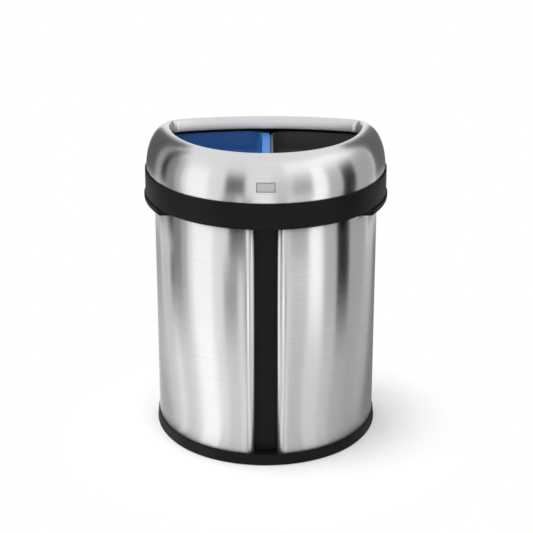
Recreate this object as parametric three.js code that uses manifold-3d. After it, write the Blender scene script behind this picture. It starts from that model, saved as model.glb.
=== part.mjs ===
// Half-round double recycling bin: a steel body on a plastic base, two lift-out buckets side by
// side, and a domed open-top lid on two back hinges.
// Millimetres, +Z up, front towards -Y, left towards -X. The origin is on the floor, under the
// middle of the bin's width and depth.
//
// Every ring of the bin follows one plan outline, drawn by tangent arcs. A place on it is given by
// the angle that the outline faces (0 front, 90 right, 180 back) and by an inset, which is the
// distance inward from the collar's outer face.

import * as THREE from 'three';
import { mergeVertices } from 'three/addons/utils/BufferGeometryUtils.js';
import Module from 'manifold-3d';

const wasm = await Module();
wasm.setup();

const { degToRad: rad } = THREE.MathUtils;

// ---- Plan outline of the collar ----
const overallWidth = 560;
const frontDepth = 307; // from the widest line to the front
const backDepth = 118; // from the widest line to the back
const backBow = 28; // how far the back bows out behind its corners
const frontArcAngle = rad(54.7);

// ---- Clearances ----
const seat = 0.3; // between a piece and what it rests on or is fixed to
const slideGap = 0.8; // between a bucket at the top of its travel and the lid
const pinGap = 0.3; // round a hinge pin, on the radius
const lap = 1; // how far solids that are joined or cut run past each other
const softEdge = 1.2; // rounding of moulded edges
const fineEdge = 0.8; // rounding of thin edges

// ---- Base ----
const baseInset = 16;
const baseRimTop = 26.9;
const baseRimLean = 2.5; // how far the rim leans in from bottom to top
const baseFlare = 2.2; // rounded foot of the rim
const baseWall = 3.2;
const baseFloor = 8; // underside of the floor plate
const baseFloorThickness = 3;
const baseCove = { width: 6, drop: 2 }; // under the floor's edge
const upstandHeight = 21;
const upstandThickness = 2.7;
const upstandDraft = 0.4;
const upstandRoot = 1; // fillet's width where the upstand meets the floor
const sillMargin = 2; // beyond the rolls, on each side
const sillDepth = 3; // behind the front strip
const footHeight = 5;
const footRadius = 15;
const footEdge = { width: 2, height: 1.6 };
const footReach = 1.5; // how far a foot stands below the rim
const footInset = 52;
const footSideAngle = rad(62);
const footBackAngle = rad(142);
const bossHeight = 3;
const bossMargin = 2; // round a foot
const ribThickness = 2.6;
const ribHeight = 18;
const ribGap = 3; // between a locating rib and a bucket
const ribFront = 90; // from the front of the bin to the middle ribs
const ribBack = 70; // from the back of the bin to the middle ribs
const finAngles = [24, 50, 76, 104, 168].map(rad);
const underRibSpacing = 117.6;
const underRibMargin = 4; // from the rim's wall to the ribs under the floor
const underRibFront = 2;
const underRibFrontSide = 44;
const underRibBack = 8;
const crossRibOffset = 92.1; // in front of the widest line
const crossRibEnd = 61.6; // from the side of the bin to the cross rib's end

// ---- Steel body ----
const bodyInset = 21;
const steel = 1;
const panelHeight = 571;
const rollRadius = 17.5; // front edges of the panels
const rollSteps = 8;
const stripShows = 45; // width of the recess between the rolled edges
const stripTuck = 11; // how far the strip goes behind each rolled edge
const stripThickness = 2.5;
const stripFlange = 9;
const stripGap = 0.5; // behind the rolls' foremost line
const backSeam = 3.2; // half of the gap between the panels at the back
const backCoverWidth = 34;
const backCoverThickness = 2;

// ---- Top frame ----
const frameThickness = 3;
const frameOuterInset = 8;
const frameEdge = 1;
const skirtInset = 40;
const skirtThickness = 3;
const skirtHeight = 22;
const lipHeight = 12;
const lipThickness = 2;
const middleBarWidth = 8;
const middleBarHeight = 16;
const frameRecess = 70; // how deep the skirt is cut away behind the front strip

// ---- Lid ----
const collarHang = 26; // from the top frame's upper face down to the collar's lower edge
const collarHeight = 58.6;
const collarThickness = 3;
const collarEdge = { width: 0.8, height: 1.5 };
const shelfInset = 16;
const ringInset = 3.3;
const ringSteel = 1;
const hemDepth = 7;
const ringRise = 4.6; // upright stretch of the ring above the collar
const crestInset = 53; // from the ring's outer face to its highest line
const crestHeight = 92.8; // of the dome alone
const mouthInset = 9.1; // from the crest to the mouth's edge
const mouthDrop = 26.6;
const domeFullness = 1.93;
const mouthFullness = 1.52;
const beadWall = 1.6;
const beadLeg = 3.6; // behind the ring's edge
const beadOuterLeg = 2.16; // on the mouth's side
const bumperWidth = 6;
const bumperHeight = 2.9;
const bumperTaper = 0.6;
const bumperHalfAngle = rad(2.5);
const bumperFrontAngle = rad(35);
const bumperBackAngle = rad(140);
const badgeWidth = 42;
const badgeHeight = 20.5;
const badgeRise = 25; // from the collar's top to the badge's lower edge
const badgeThickness = 1.3;
const badgeGap = 0.48; // to the dome, clear of the dome's facets
const badgeEdge = 0.4;
const domeSteps = 8;
const mouthSteps = 3;

// ---- Hinges ----
const hingeSpread = 95; // from the middle to each hinge
const hingeSetback = 7; // from the back of the collar to the pin's axis
const pinRadius = 2.5;
const pinHeadRadius = 4.2;
const pinHeadHeight = 1.8;
const knuckleRadius = 6.5;
const knuckleWidth = 16;
const earThickness = 4;
const earGap = 0.4;
const bracketThickness = 2.8;
const bracketWidth = 40;
const bracketBelow = 30; // from the pin's axis down
const leafThickness = 2.5;
const leafWidth = 36;
const leafBelow = 10.5; // from the pin's axis up to the leaf's lower edge
const notchMargin = 3;
const notchDepth = 15; // in front of the pin's axis
const earAbove = 7; // where an ear leaves its plate, from the pin's axis up
const earBelow = 14; // and down
const earEnd = rad(80); // how far the rounded end reaches above and below
const neckDepth = 3.9; // behind the leaf's inner face
const heelFront = 1; // from the pin's axis back to the heel
const heelBack = 5.5;
const bracketScrewSide = 8; // from the bracket's side to its screws
const bracketScrewRise = 9; // from the bracket's lower edge
const leafScrewSide = 7;
const leafScrewRise = 4.5;
const lidOpenAngle = rad(80);
const plateMargin = rad(1); // beyond a hinge plate's sides

// ---- Side grips ----
const gripProud = 3; // beyond the collar's face
const gripDrop = 15.5; // below the collar's lower edge
const gripWall = 3;
const gripFront = 158; // from the widest line to the front end
const gripBack = 52; // from the widest line to the back end
const gripClearance = 1.2; // to the inside of the collar
const gripEdge = { width: 1, height: 1.5 }; // upper outer edge
const gripLip = { height: 6, reach: 4.6, land: 1.9 }; // rolled lower edge
const gripLipInside = 4; // height of the roll on the inside
const gripScrewFront = 34; // from the grip's front end
const gripScrewBack = 48; // from the grip's back end
const gripSpan = [rad(45), rad(140)]; // swept, before the ends are trimmed

// ---- Buckets ----
const bucketLift = 8.2; // free play under the closed lid
const bucketRimInset = 38;
const bucketRimWidth = 8;
const bucketRimDrop = 9;
const bucketRimThickness = 2.5;
const bucketWall = 2.5;
const bucketDraft = rad(1.2);
const bucketCorner = 36; // corner radius at the rim, on the middle wall
const bucketFoot = { height: 4, inset: 2.5, width: 5, slope: 1.5 }; // ring that it stands on
const bucketHeel = 3; // height of the bevel above the foot ring
const bucketFillet = 4; // between the walls and the floor, inside
const bucketRimDraft = 0.5;
const bucketSteps = { corner: 4, arcs: [5, 4, 5, 3] };
const bucketStepHeight = 44; // from the rim down to the moulded step
const bucketStep = 2;
const blueRimLeft = -8.6; // inner face of the blue bucket's middle wall
const blueRimRight = 10.6; // free edge of the blue rim
const blackRimGap = 0.8;
const blackRimWidth = 3; // of the black bucket's rim on the middle wall
const slotWidth = 92;
const slotHeight = 26;
const slotDrop = 27; // from the rim down to the hand slot
const slotForward = 20; // of the widest line
const slotReach = 30; // to each side of the wall

// ---- Fasteners ----
const screwHead = { radius: 3.6, height: 2.1 };
const shankRadius = 1.6;
const shankGap = 0.35;
const screwTaper = 0.62; // of the head's radius
const pastSheet = 5; // screws through sheet, beyond what they clamp
const intoCollar = 2; // leaf screws
const ringScrewLength = 7;
const ringScrewAngles = [58, 122].map(rad);
const holeDepth = 12;
const ringHoleDepth = 8;
const leafHoleMargin = 0.4; // beyond the end of a leaf screw

// ---- Worked out from the sizes above ----
const halfWidth = overallWidth / 2;
const widestY = (frontDepth - backDepth) / 2;
const backY = widestY + backDepth;
const frontY = widestY - frontDepth;
const panelBottom = baseRimTop + seat;
const panelTop = panelBottom + panelHeight;
const floorTop = baseFloor + baseFloorThickness;
const frameBottom = panelTop + seat;
const frameTop = frameBottom + frameThickness;
const collarBottom = frameTop - collarHang;
const collarTop = collarBottom + collarHeight;
const shelfBottom = frameTop + seat + bumperHeight + seat;
const shelfTop = shelfBottom + collarThickness;
const hemBottom = shelfTop + seat;
const domeBottom = collarTop + ringRise;
const crestTop = domeBottom + crestHeight;
const mouthEdge = ringInset + crestInset + mouthInset;
const mouthZ = crestTop - mouthDrop;
const beadBottom = mouthZ - seat - beadWall;
const bucketBottom = floorTop + seat;
const bucketRimTop = beadBottom - slideGap - bucketLift;
const hingeY = backY - hingeSetback;
const hingeZ = collarBottom;
const lipBottom = panelTop - lipHeight;
const gripTop = lipBottom - seat;
const gripBottom = collarBottom - seat - gripDrop;
const leafScrewLength = leafThickness + seat + intoCollar;
console.log(`overall height ${crestTop.toFixed(1)}, bucket rims at ${bucketRimTop.toFixed(1)}`);

// ---- Materials ----
const finishes = {
  brushedSteel: { color: 0xc6c7c9, roughness: 0.32, metalness: 1 },
  blackPlastic: { color: 0x1c1c1d, roughness: 0.55, metalness: 0 },
  bucketBlack: { color: 0x202021, roughness: 0.5, metalness: 0 },
  bucketBlue: { color: 0x2a56a5, roughness: 0.45, metalness: 0 },
  blackRubber: { color: 0x161616, roughness: 0.9, metalness: 0 },
  zincSteel: { color: 0xa2a5a8, roughness: 0.4, metalness: 1 },
  badgeMetal: { color: 0xb9babd, roughness: 0.5, metalness: 0.9 },
};

// ---- Plan outline ----
const sinFront = Math.sin(frontArcAngle);
const cosFront = Math.cos(frontArcAngle);
const spread = sinFront + cosFront - 1;
const frontRadius = (halfWidth * cosFront - frontDepth * (1 - sinFront)) / spread;
const sideRadius = (frontDepth * sinFront - halfWidth * (1 - cosFront)) / spread;
const cornerRadius = backDepth - backBow;
const backTurn = 2 * Math.atan(backBow / (halfWidth - cornerRadius));
const backRadius = cornerRadius + (halfWidth - cornerRadius) / Math.sin(backTurn);

// The right half's arcs, from the front to the back.
const arcs = [
  { to: frontArcAngle, radius: frontRadius, x: 0, y: frontY + frontRadius, steps: 8 },
  { to: Math.PI / 2, radius: sideRadius, x: halfWidth - sideRadius, y: widestY, steps: 5 },
  { to: Math.PI - backTurn, radius: cornerRadius, x: halfWidth - cornerRadius, y: widestY, steps: 7 },
  { to: Math.PI, radius: backRadius, x: 0, y: backY - backRadius, steps: 4 },
];

function onArc(arc, angle, inset) {
  const radius = arc.radius - inset;
  return new THREE.Vector2(arc.x + radius * Math.sin(angle), arc.y - radius * Math.cos(angle));
}

// The arcs' facets: each has its facing angles and its arc. All pieces share them, so that what
// lies along a piece lies along its facets too.
const facets = arcs.flatMap((arc, k) => {
  const start = k ? arcs[k - 1].to : 0;
  const step = (arc.to - start) / arc.steps;
  return Array.from({ length: arc.steps }, (_, i) => ({
    arc,
    from: start + i * step,
    to: start + (i + 1) * step,
  }));
});

function outlinePoint(angle, inset) {
  const facing = Math.abs(angle);
  const { arc, from, to } = facets.find((facet) => facing <= facet.to) ?? facets.at(-1);
  const point = onArc(arc, from, inset).lerp(onArc(arc, to, inset), (facing - from) / (to - from));
  point.x *= Math.sign(angle);
  return point;
}

// The facing angles between two angles of one side, with the facets' own in between.
function anglesBetween(from, to) {
  const apart = 0.004;
  const within = facets.map((facet) => facet.to).filter((angle) => angle > from + apart && angle < to - apart);
  return [from, ...within, to];
}

const rightHalf = anglesBetween(0, Math.PI);
const allRound = [...rightHalf.slice(1, -1).map((angle) => -angle).reverse(), ...rightHalf];

// The facing angle at a distance from the middle on the back.
function backAngleAt(x, inset) {
  return Math.PI - Math.asin(x / (backRadius - inset));
}

// The facing angle at a depth on the side, before or behind the widest line.
function sideAngleAt(y, inset) {
  const radius = (y < widestY ? sideRadius : cornerRadius) - inset;
  return Math.PI / 2 + Math.asin((y - widestY) / radius);
}

// ---- Solids ----
function faceOutward(positions, indices) {
  const [a, b, c] = [new THREE.Vector3(), new THREE.Vector3(), new THREE.Vector3()];
  let volume = 0;
  for (let i = 0; i < indices.length; i += 3) {
    a.fromArray(positions, indices[i] * 3);
    b.fromArray(positions, indices[i + 1] * 3);
    c.fromArray(positions, indices[i + 2] * 3);
    volume += a.dot(b.cross(c));
  }
  if (volume > 0) return indices;
  return [...indices].reverse();
}

function closedGeometry(positions, indices) {
  const geometry = new THREE.BufferGeometry();
  geometry.setAttribute('position', new THREE.Float32BufferAttribute(positions, 3));
  geometry.setIndex(faceOutward(positions, indices));
  return geometry;
}

// Quads between rows of points, all rows of one length and each row a closed loop.
function bandIndices(rows, rowLength, closed) {
  const indices = [];
  for (let i = 0; i < (closed ? rows : rows - 1); i += 1) {
    const next = (i + 1) % rows;
    for (let j = 0; j < rowLength; j += 1) {
      const k = (j + 1) % rowLength;
      const [a, b, c, d] = [i * rowLength + j, i * rowLength + k, next * rowLength + k, next * rowLength + j];
      indices.push(a, b, c, a, c, d);
    }
  }
  return indices;
}

// The faces that close a loop. Those of the first row turn against the loop, and those of the last
// row turn with it.
function capIndices(loop, first, withLoop) {
  const turns = THREE.ShapeUtils.area(loop) > 0 === withLoop;
  return THREE.ShapeUtils.triangulateShape([...loop], []).flatMap((face) => {
    const turned = THREE.ShapeUtils.area(face.map((i) => loop[i])) > 0 === turns;
    return (turned ? face : face.toReversed()).map((i) => first + i);
  });
}

// A section of insets and heights, carried round the plan outline.
function sweep(section, angles, closed) {
  const positions = angles.flatMap((angle) => section.flatMap(([inset, z]) => {
    const point = outlinePoint(angle, inset);
    return [point.x, point.y, z];
  }));
  const indices = bandIndices(angles.length, section.length, closed);
  if (!closed) {
    const loop = section.map(([inset, z]) => new THREE.Vector2(inset, z));
    indices.push(...capIndices(loop, 0, false));
    indices.push(...capIndices(loop, (angles.length - 1) * section.length, true));
  }
  return closedGeometry(positions, indices);
}

// A stack of level loops from the outside bottom over the rim to the inside bottom.
function vessel(loops) {
  const positions = loops.flatMap(({ loop, z }) => loop.flatMap((point) => [point.x, point.y, z]));
  const rowLength = loops[0].loop.length;
  const indices = bandIndices(loops.length, rowLength, false);
  indices.push(...capIndices(loops[0].loop, 0, false));
  indices.push(...capIndices(loops.at(-1).loop, (loops.length - 1) * rowLength, true));
  return closedGeometry(positions, indices);
}

function toSolid(geometry) {
  const bare = geometry.clone();
  bare.deleteAttribute('normal');
  bare.deleteAttribute('uv');
  const merged = mergeVertices(bare, 1e-4);
  const index = [...merged.index.array];
  const kept = [];
  for (let i = 0; i < index.length; i += 3) {
    const [a, b, c] = index.slice(i, i + 3);
    if (a !== b && b !== c && c !== a) kept.push(a, b, c);
  }
  return new wasm.Manifold(new wasm.Mesh({
    numProp: 3,
    vertProperties: Float32Array.from(merged.attributes.position.array),
    triVerts: Uint32Array.from(kept),
  }));
}

function toGeometry(solid) {
  const mesh = solid.getMesh();
  const geometry = new THREE.BufferGeometry();
  geometry.setAttribute('position', new THREE.Float32BufferAttribute(mesh.vertProperties, 3));
  geometry.setIndex([...mesh.triVerts]);
  return geometry;
}

function joined(first, ...others) {
  return others.reduce((solid, other) => solid.add(other), first);
}

function cut(first, ...tools) {
  return tools.reduce((solid, tool) => solid.subtract(tool), first);
}

function box(x0, x1, y0, y1, z0, z1) {
  const geometry = new THREE.BoxGeometry(x1 - x0, y1 - y0, z1 - z0);
  return toSolid(geometry.translate((x0 + x1) / 2, (y0 + y1) / 2, (z0 + z1) / 2));
}

// A turned piece whose axis starts at a point and runs along a direction.
function turned(profile, origin, direction, segments) {
  const geometry = new THREE.LatheGeometry(profile.map(([r, h]) => new THREE.Vector2(r, h)), segments);
  const turn = new THREE.Quaternion().setFromUnitVectors(new THREE.Vector3(0, 1, 0), direction);
  return toSolid(geometry.applyQuaternion(turn).translate(origin.x, origin.y, origin.z));
}

function rod(radius, origin, direction, from, to, segments = 16) {
  return turned([[0, from], [radius, from], [radius, to], [0, to]], origin, direction, segments);
}

// A flat profile in plan, raised between two heights.
function raised(points, z0, z1) {
  const geometry = new THREE.ExtrudeGeometry(new THREE.Shape(points), { depth: z1 - z0, bevelEnabled: false });
  return toSolid(geometry.translate(0, 0, z0));
}

// A profile of depths and heights, as thick across the bin as from x0 to x1.
function acrossBin(points, x0, x1) {
  const shape = new THREE.Shape(points.map(([y, z]) => new THREE.Vector2(y, z)));
  const geometry = new THREE.ExtrudeGeometry(shape, { depth: x1 - x0, bevelEnabled: false });
  geometry.rotateZ(Math.PI / 2).rotateY(Math.PI / 2);
  return toSolid(geometry.translate(x0, 0, 0));
}

const bin = new THREE.Group();

function place(name, finish, solid) {
  const material = new THREE.MeshStandardMaterial(finishes[finish]);
  const mesh = new THREE.Mesh(toGeometry(solid), material);
  mesh.name = name;
  bin.add(mesh);
  return solid;
}

// ---- Fasteners ----
// A seat is a point on the face under the screw's head and the direction that the head faces.
function screwSolid({ point, outward }, length) {
  const { radius, height } = screwHead;
  const profile = [
    [0, -length],
    [shankRadius, -length],
    [shankRadius, seat],
    [radius, seat],
    [radius * screwTaper, seat + height],
    [0, seat + height],
  ];
  return turned(profile, point, outward, 8);
}

function screwHole({ point, outward }, depth) {
  return rod(shankRadius + shankGap, point, outward, -depth, lap, 8);
}

function outlineSeat(angle, inset, z, facesIn = false) {
  const point = outlinePoint(angle, inset);
  const outward = new THREE.Vector3(Math.sin(angle), -Math.cos(angle), 0);
  return {
    point: new THREE.Vector3(point.x, point.y, z),
    outward: facesIn ? outward.negate() : outward,
  };
}

const sides = [{ side: 'left', sign: -1 }, { side: 'right', sign: 1 }];
const underneath = new THREE.Vector3(0, 0, -1);
const alongX = new THREE.Vector3(1, 0, 0);

// Hinge brackets, on the panels' back faces.
const bracketSeats = sides.flatMap(({ side, sign }) => [-1, 1].map((hand) => {
  const x = hingeSpread + hand * (bracketWidth / 2 - bracketScrewSide);
  const angle = sign * backAngleAt(x, bodyInset);
  const inset = bodyInset - seat - bracketThickness;
  return { side, hand, ...outlineSeat(angle, inset, hingeZ - bracketBelow + bracketScrewRise) };
}));

// Hinge leaves, on the inside of the collar.
const leafSeats = sides.flatMap(({ side, sign }) => [-1, 1].map((hand) => {
  const x = hingeSpread + hand * (leafWidth / 2 - leafScrewSide);
  const angle = sign * backAngleAt(x, collarThickness);
  const inset = collarThickness + seat + leafThickness;
  return { side, hand, ...outlineSeat(angle, inset, hingeZ + leafBelow + leafScrewRise, true) };
}));

// Grips, through their flange into the panels.
const flangeOuter = bodyInset - seat - gripWall;
const gripAngles = [
  sideAngleAt(widestY - gripFront + gripScrewFront, flangeOuter),
  sideAngleAt(widestY + gripBack - gripScrewBack, flangeOuter),
];
const gripScrewZ = (gripTop - gripWall + gripBottom) / 2;
const gripSeats = sides.flatMap(({ side, sign }) => gripAngles.map((angle, i) => (
  { side, hand: i * 2 - 1, ...outlineSeat(sign * angle, flangeOuter, gripScrewZ) }
)));

// Ring to collar, from below through the shelf and the ring's hem.
const ringSeats = sides.flatMap(({ side, sign }) => ringScrewAngles.map((angle, i) => {
  const point = outlinePoint(sign * angle, ringInset + ringSteel + hemDepth / 2);
  return {
    side,
    hand: i * 2 - 1,
    point: new THREE.Vector3(point.x, point.y, shelfBottom),
    outward: underneath,
  };
}));

function placeScrews(name, seats, length) {
  for (const screwSeat of seats) {
    const hand = screwSeat.hand < 0 ? 'a' : 'b';
    place(`${name}_${screwSeat.side}_${hand}`, 'zincSteel', screwSolid(screwSeat, length));
  }
}

// ---- Panel profile ----
// Each panel runs from the back seam round the side to the front, where its edge rolls inward.
const rollEnd = stripShows / 2;
const rollCentreX = rollEnd + rollRadius;
const rollAngle = Math.asin(rollCentreX / (frontRadius - bodyInset - rollRadius));
const rollCentreY = frontY + frontRadius - (frontRadius - bodyInset - rollRadius) * Math.cos(rollAngle);
const stripFace = rollCentreY + stripGap;

function panelLine(inset) {
  const angles = anglesBetween(rollAngle, backAngleAt(backSeam, inset));
  const points = angles.map((angle) => outlinePoint(angle, inset));
  const radius = rollRadius - (inset - bodyInset);
  const steps = rollSteps;
  for (let i = 1; i <= steps; i += 1) {
    const angle = rollAngle - ((rollAngle + Math.PI / 2) * i) / steps;
    const x = rollCentreX + radius * Math.sin(angle);
    points.unshift(new THREE.Vector2(x, rollCentreY - radius * Math.cos(angle)));
  }
  return points;
}

function panel(sign) {
  const profile = [...panelLine(bodyInset), ...panelLine(bodyInset + steel).reverse()];
  const flipped = profile.map((point) => new THREE.Vector2(point.x * sign, point.y));
  const holes = [
    ...bracketSeats.map((screwSeat) => screwHole(screwSeat, holeDepth)),
    ...gripSeats.map((screwSeat) => screwHole(screwSeat, holeDepth)),
  ];
  return cut(raised(flipped, panelBottom, panelTop), ...holes);
}

// ---- Base tray ----
const upstandOuter = bodyInset + steel + seat;
const upstandInner = upstandOuter + upstandThickness;
const upstandTop = baseRimTop + upstandHeight;
const sillHalf = rollCentreX + sillMargin;

function outlineLoop(inset) {
  return allRound.map((angle) => outlinePoint(angle, inset));
}

function footPlace(angle) {
  const point = outlinePoint(angle, footInset);
  return new THREE.Vector3(point.x, point.y, 0);
}

const footPlaces = [
  { name: 'foot_front', at: footPlace(0) },
  ...sides.flatMap(({ side, sign }) => [
    { name: `foot_${side}`, at: footPlace(sign * footSideAngle) },
    { name: `foot_back_${side}`, at: footPlace(sign * footBackAngle) },
  ]),
];

function baseTray() {
  const levels = [
    [baseInset + baseWall + baseCove.width, baseFloor],
    [baseInset + baseWall, baseFloor - baseCove.drop],
    [baseInset + baseWall, footReach],
    [baseInset + baseFlare, footReach],
    [baseInset, footReach + baseFlare],
    [baseInset + baseRimLean / 2, baseRimTop / 2],
    [baseInset + baseRimLean, baseRimTop - softEdge],
    [baseInset + baseRimLean + softEdge, baseRimTop],
    [upstandOuter, baseRimTop],
    [upstandOuter + upstandDraft, upstandTop],
    [upstandInner, upstandTop],
    [upstandInner + upstandRoot, floorTop],
  ];
  const tray = vessel(levels.map(([inset, z]) => ({ loop: outlineLoop(inset), z })));
  const sillBack = stripFace + stripThickness + stripFlange + sillDepth;
  const sill = box(-sillHalf, sillHalf, frontY + upstandOuter - lap, sillBack, baseFloor + lap / 2, baseRimTop);
  const recess = box(-sillHalf, sillHalf, frontY, sillBack, baseRimTop, upstandTop + lap);
  const bosses = footPlaces.map(({ at }) => (
    rod(footRadius + bossMargin, at, underneath, -baseFloor - lap, bossHeight - baseFloor)
  ));
  return cut(joined(toSolid(tray), sill, ...bosses, ...underRibs(), ...locatingRibs()), recess);
}

// Ribs under the floor plate, front to back and side to side.
function underRibs() {
  const reach = baseInset + baseWall + underRibMargin;
  const top = baseFloor + lap;
  const ribs = [-1, 0, 1].map((i) => {
    const x = i * underRibSpacing;
    const y0 = frontY + reach + (i ? underRibFrontSide : underRibFront);
    return box(x - ribThickness / 2, x + ribThickness / 2, y0, backY - reach - underRibBack, footHeight, top);
  });
  const y = widestY - crossRibOffset;
  const x = halfWidth - crossRibEnd;
  return [...ribs, box(-x, x, y, y + ribThickness, footHeight, top)];
}

// Upright ribs on the floor that keep the buckets apart, and fins that keep them off the wall.
function locatingRibs() {
  const z = bucketBottom;
  const blueEdge = blueRimLeft + bucketWall - bucketInsetAt(z);
  const blackEdge = blackWallX + bucketInsetAt(z) - bucketWall;
  const y0 = frontY + ribFront;
  const y1 = backY - ribBack;
  const pair = [blueEdge + ribGap, blackEdge - ribGap - ribThickness].map((x) => (
    box(x, x + ribThickness, y0, y1, floorTop - lap, floorTop + ribHeight)
  ));
  const reach = bucketRimInset + bucketRimWidth + bucketInsetAt(z) - ribGap;
  const fins = sides.flatMap(({ sign }) => finAngles.map((angle) => {
    const outward = new THREE.Vector2(Math.sin(sign * angle), -Math.cos(sign * angle));
    const across = new THREE.Vector2(-outward.y, outward.x).multiplyScalar(ribThickness / 2);
    const outer = outlinePoint(sign * angle, upstandInner - lap / 2);
    const inner = outlinePoint(sign * angle, reach);
    const corners = [
      outer.clone().add(across),
      outer.clone().sub(across),
      inner.clone().sub(across),
      inner.clone().add(across),
    ];
    return raised(corners, floorTop - lap, floorTop + ribHeight);
  }));
  return [...pair, ...fins];
}

function foot(at) {
  const height = footHeight - seat;
  const profile = [
    [0, 0],
    [footRadius - footEdge.width, 0],
    [footRadius, footEdge.height],
    [footRadius, height],
    [0, height],
  ];
  return turned(profile, at, new THREE.Vector3(0, 0, 1), 16);
}

// ---- Strips ----
// The front strip is a channel behind the rolled edges, its flanges to the back.
function frontStrip() {
  const half = rollEnd + stripTuck;
  const inside = half - stripThickness;
  const y0 = stripFace;
  const y1 = y0 + stripThickness;
  const y2 = y1 + stripFlange;
  const profile = [
    [-half, y0], [half, y0], [half, y2], [inside, y2], [inside, y1], [-inside, y1], [-inside, y2], [-half, y2],
  ];
  return raised(profile.map(([x, y]) => new THREE.Vector2(x, y)), panelBottom, panelTop);
}

// The back strip holds both panel edges between its cover outside and its flange inside.
function backStrip() {
  const half = backCoverWidth / 2;
  const face = backY - bodyInset + seat;
  const panelInside = outlinePoint(backAngleAt(half, bodyInset + steel), bodyInset + steel).y;
  const inner = panelInside - seat;
  const top = lipBottom - seat;
  const web = backSeam - seat;
  const cover = box(-half, half, face, face + backCoverThickness, panelBottom, top);
  const middle = box(-web, web, inner - lap, face + lap, panelBottom, top);
  const flange = box(-half, half, inner - backCoverThickness, inner, upstandTop + seat, top);
  const y1 = backY - upstandOuter + seat;
  const upstand = box(-half, half, inner - backCoverThickness, y1, panelBottom - lap, upstandTop + seat);
  return cut(joined(cover, middle, flange), upstand);
}

// ---- Top frame ----
function topFrame() {
  const capOuter = bodyInset - seat;
  const capInner = bodyInset + steel + seat;
  const section = [
    [frameOuterInset, frameBottom],
    [frameOuterInset, frameTop - frameEdge],
    [frameOuterInset + frameEdge, frameTop],
    [skirtInset + skirtThickness, frameTop],
    [skirtInset + skirtThickness, frameTop - skirtHeight],
    [skirtInset, frameTop - skirtHeight],
    [skirtInset, frameBottom],
    [capInner + lipThickness, frameBottom],
    [capInner + lipThickness, lipBottom],
    [capInner, lipBottom],
    [capInner, frameBottom],
    [capOuter, frameBottom],
    [capOuter, lipBottom],
    [capOuter - lipThickness, lipBottom],
    [capOuter - lipThickness, frameBottom],
  ];
  const ring = toSolid(sweep(section, allRound, true));
  const half = middleBarWidth / 2;
  const y0 = frontY + skirtInset + skirtThickness - lap;
  const y1 = backY - skirtInset - skirtThickness + lap;
  const bar = box(-half, half, y0, y1, frameTop - middleBarHeight, frameTop);
  const side = sillHalf + lap;
  const recess = box(-side, side, frontY, frontY + frameRecess, frameTop - skirtHeight - lap, frameBottom);
  return cut(joined(ring, bar), recess);
}

// ---- Side grips ----
// A channel under the collar, open below, whose finger pocket goes up inside the collar.
function grip(sign) {
  const inside = collarThickness + gripClearance;
  const top = gripTop;
  const under = collarBottom - seat;
  const bottom = gripBottom;
  const bodySide = bodyInset - seat;
  const section = [
    [-gripProud, under - gripEdge.height],
    [-gripProud + gripEdge.width, under],
    [inside, under],
    [inside, top],
    [bodySide, top],
    [bodySide, bottom],
    [flangeOuter, bottom],
    [flangeOuter, top - gripWall],
    [inside + gripWall, top - gripWall],
    [inside + gripWall, under - gripWall],
    [gripWall - gripProud, under - gripWall],
    [gripWall - gripProud + gripEdge.width, bottom + gripLipInside],
    [gripLip.reach + gripLip.land - gripProud, bottom],
    [gripLip.reach - gripProud, bottom],
    [gripEdge.width - gripProud, bottom + gripLip.height / 2],
    [-gripProud, bottom + gripLip.height],
  ];
  const endWall = [
    [-gripProud, under - gripEdge.height],
    [-gripProud + gripEdge.width, under],
    [inside, under],
    [inside, top],
    [bodySide, top],
    [bodySide, bottom],
    [gripLip.reach - gripProud, bottom],
    [gripEdge.width - gripProud, bottom + gripLip.height / 2],
    [-gripProud, bottom + gripLip.height],
  ];
  const round = anglesBetween(...gripSpan).map((angle) => angle * sign);
  const y0 = widestY - gripFront;
  const y1 = widestY + gripBack;
  const [x0, x1] = sign > 0 ? [0, overallWidth] : [-overallWidth, 0];
  const reach = box(x0, x1, y0, y1, bottom - lap, top + lap);
  const ends = joined(
    box(x0, x1, y0, y0 + gripWall, bottom - lap, top + lap),
    box(x0, x1, y1 - gripWall, y1, bottom - lap, top + lap),
  );
  const channel = toSolid(sweep(section, round, false)).intersect(reach);
  const caps = toSolid(sweep(endWall, round, false)).intersect(ends);
  return cut(joined(channel, caps), ...gripSeats.map((screwSeat) => screwHole(screwSeat, holeDepth)));
}

// ---- Lid ----
const hingeHalf = knuckleWidth / 2 + earGap + earThickness;
const notchHalf = hingeHalf + notchMargin;

function collar() {
  const section = [
    [collarEdge.width, collarBottom],
    [0, collarBottom + collarEdge.height],
    [0, collarTop - collarEdge.height],
    [collarEdge.width, collarTop],
    [collarThickness, collarTop],
    [collarThickness, shelfTop],
    [shelfInset, shelfTop],
    [shelfInset, shelfBottom],
    [collarThickness, shelfBottom],
    [collarThickness, collarBottom],
  ];
  const band = toSolid(sweep(section, allRound, true));
  const notches = sides.map(({ sign }) => {
    const x = sign * hingeSpread;
    const top = hingeZ + leafBelow - lap;
    return box(x - notchHalf, x + notchHalf, hingeY - notchDepth, backY + lap, collarBottom - lap, top);
  });
  const leafHoles = leafSeats.map((screwSeat) => screwHole(screwSeat, leafScrewLength + leafHoleMargin));
  const ringHoles = ringSeats.map((screwSeat) => screwHole(screwSeat, ringHoleDepth));
  return cut(band, ...notches, ...leafHoles, ...ringHoles);
}

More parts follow.
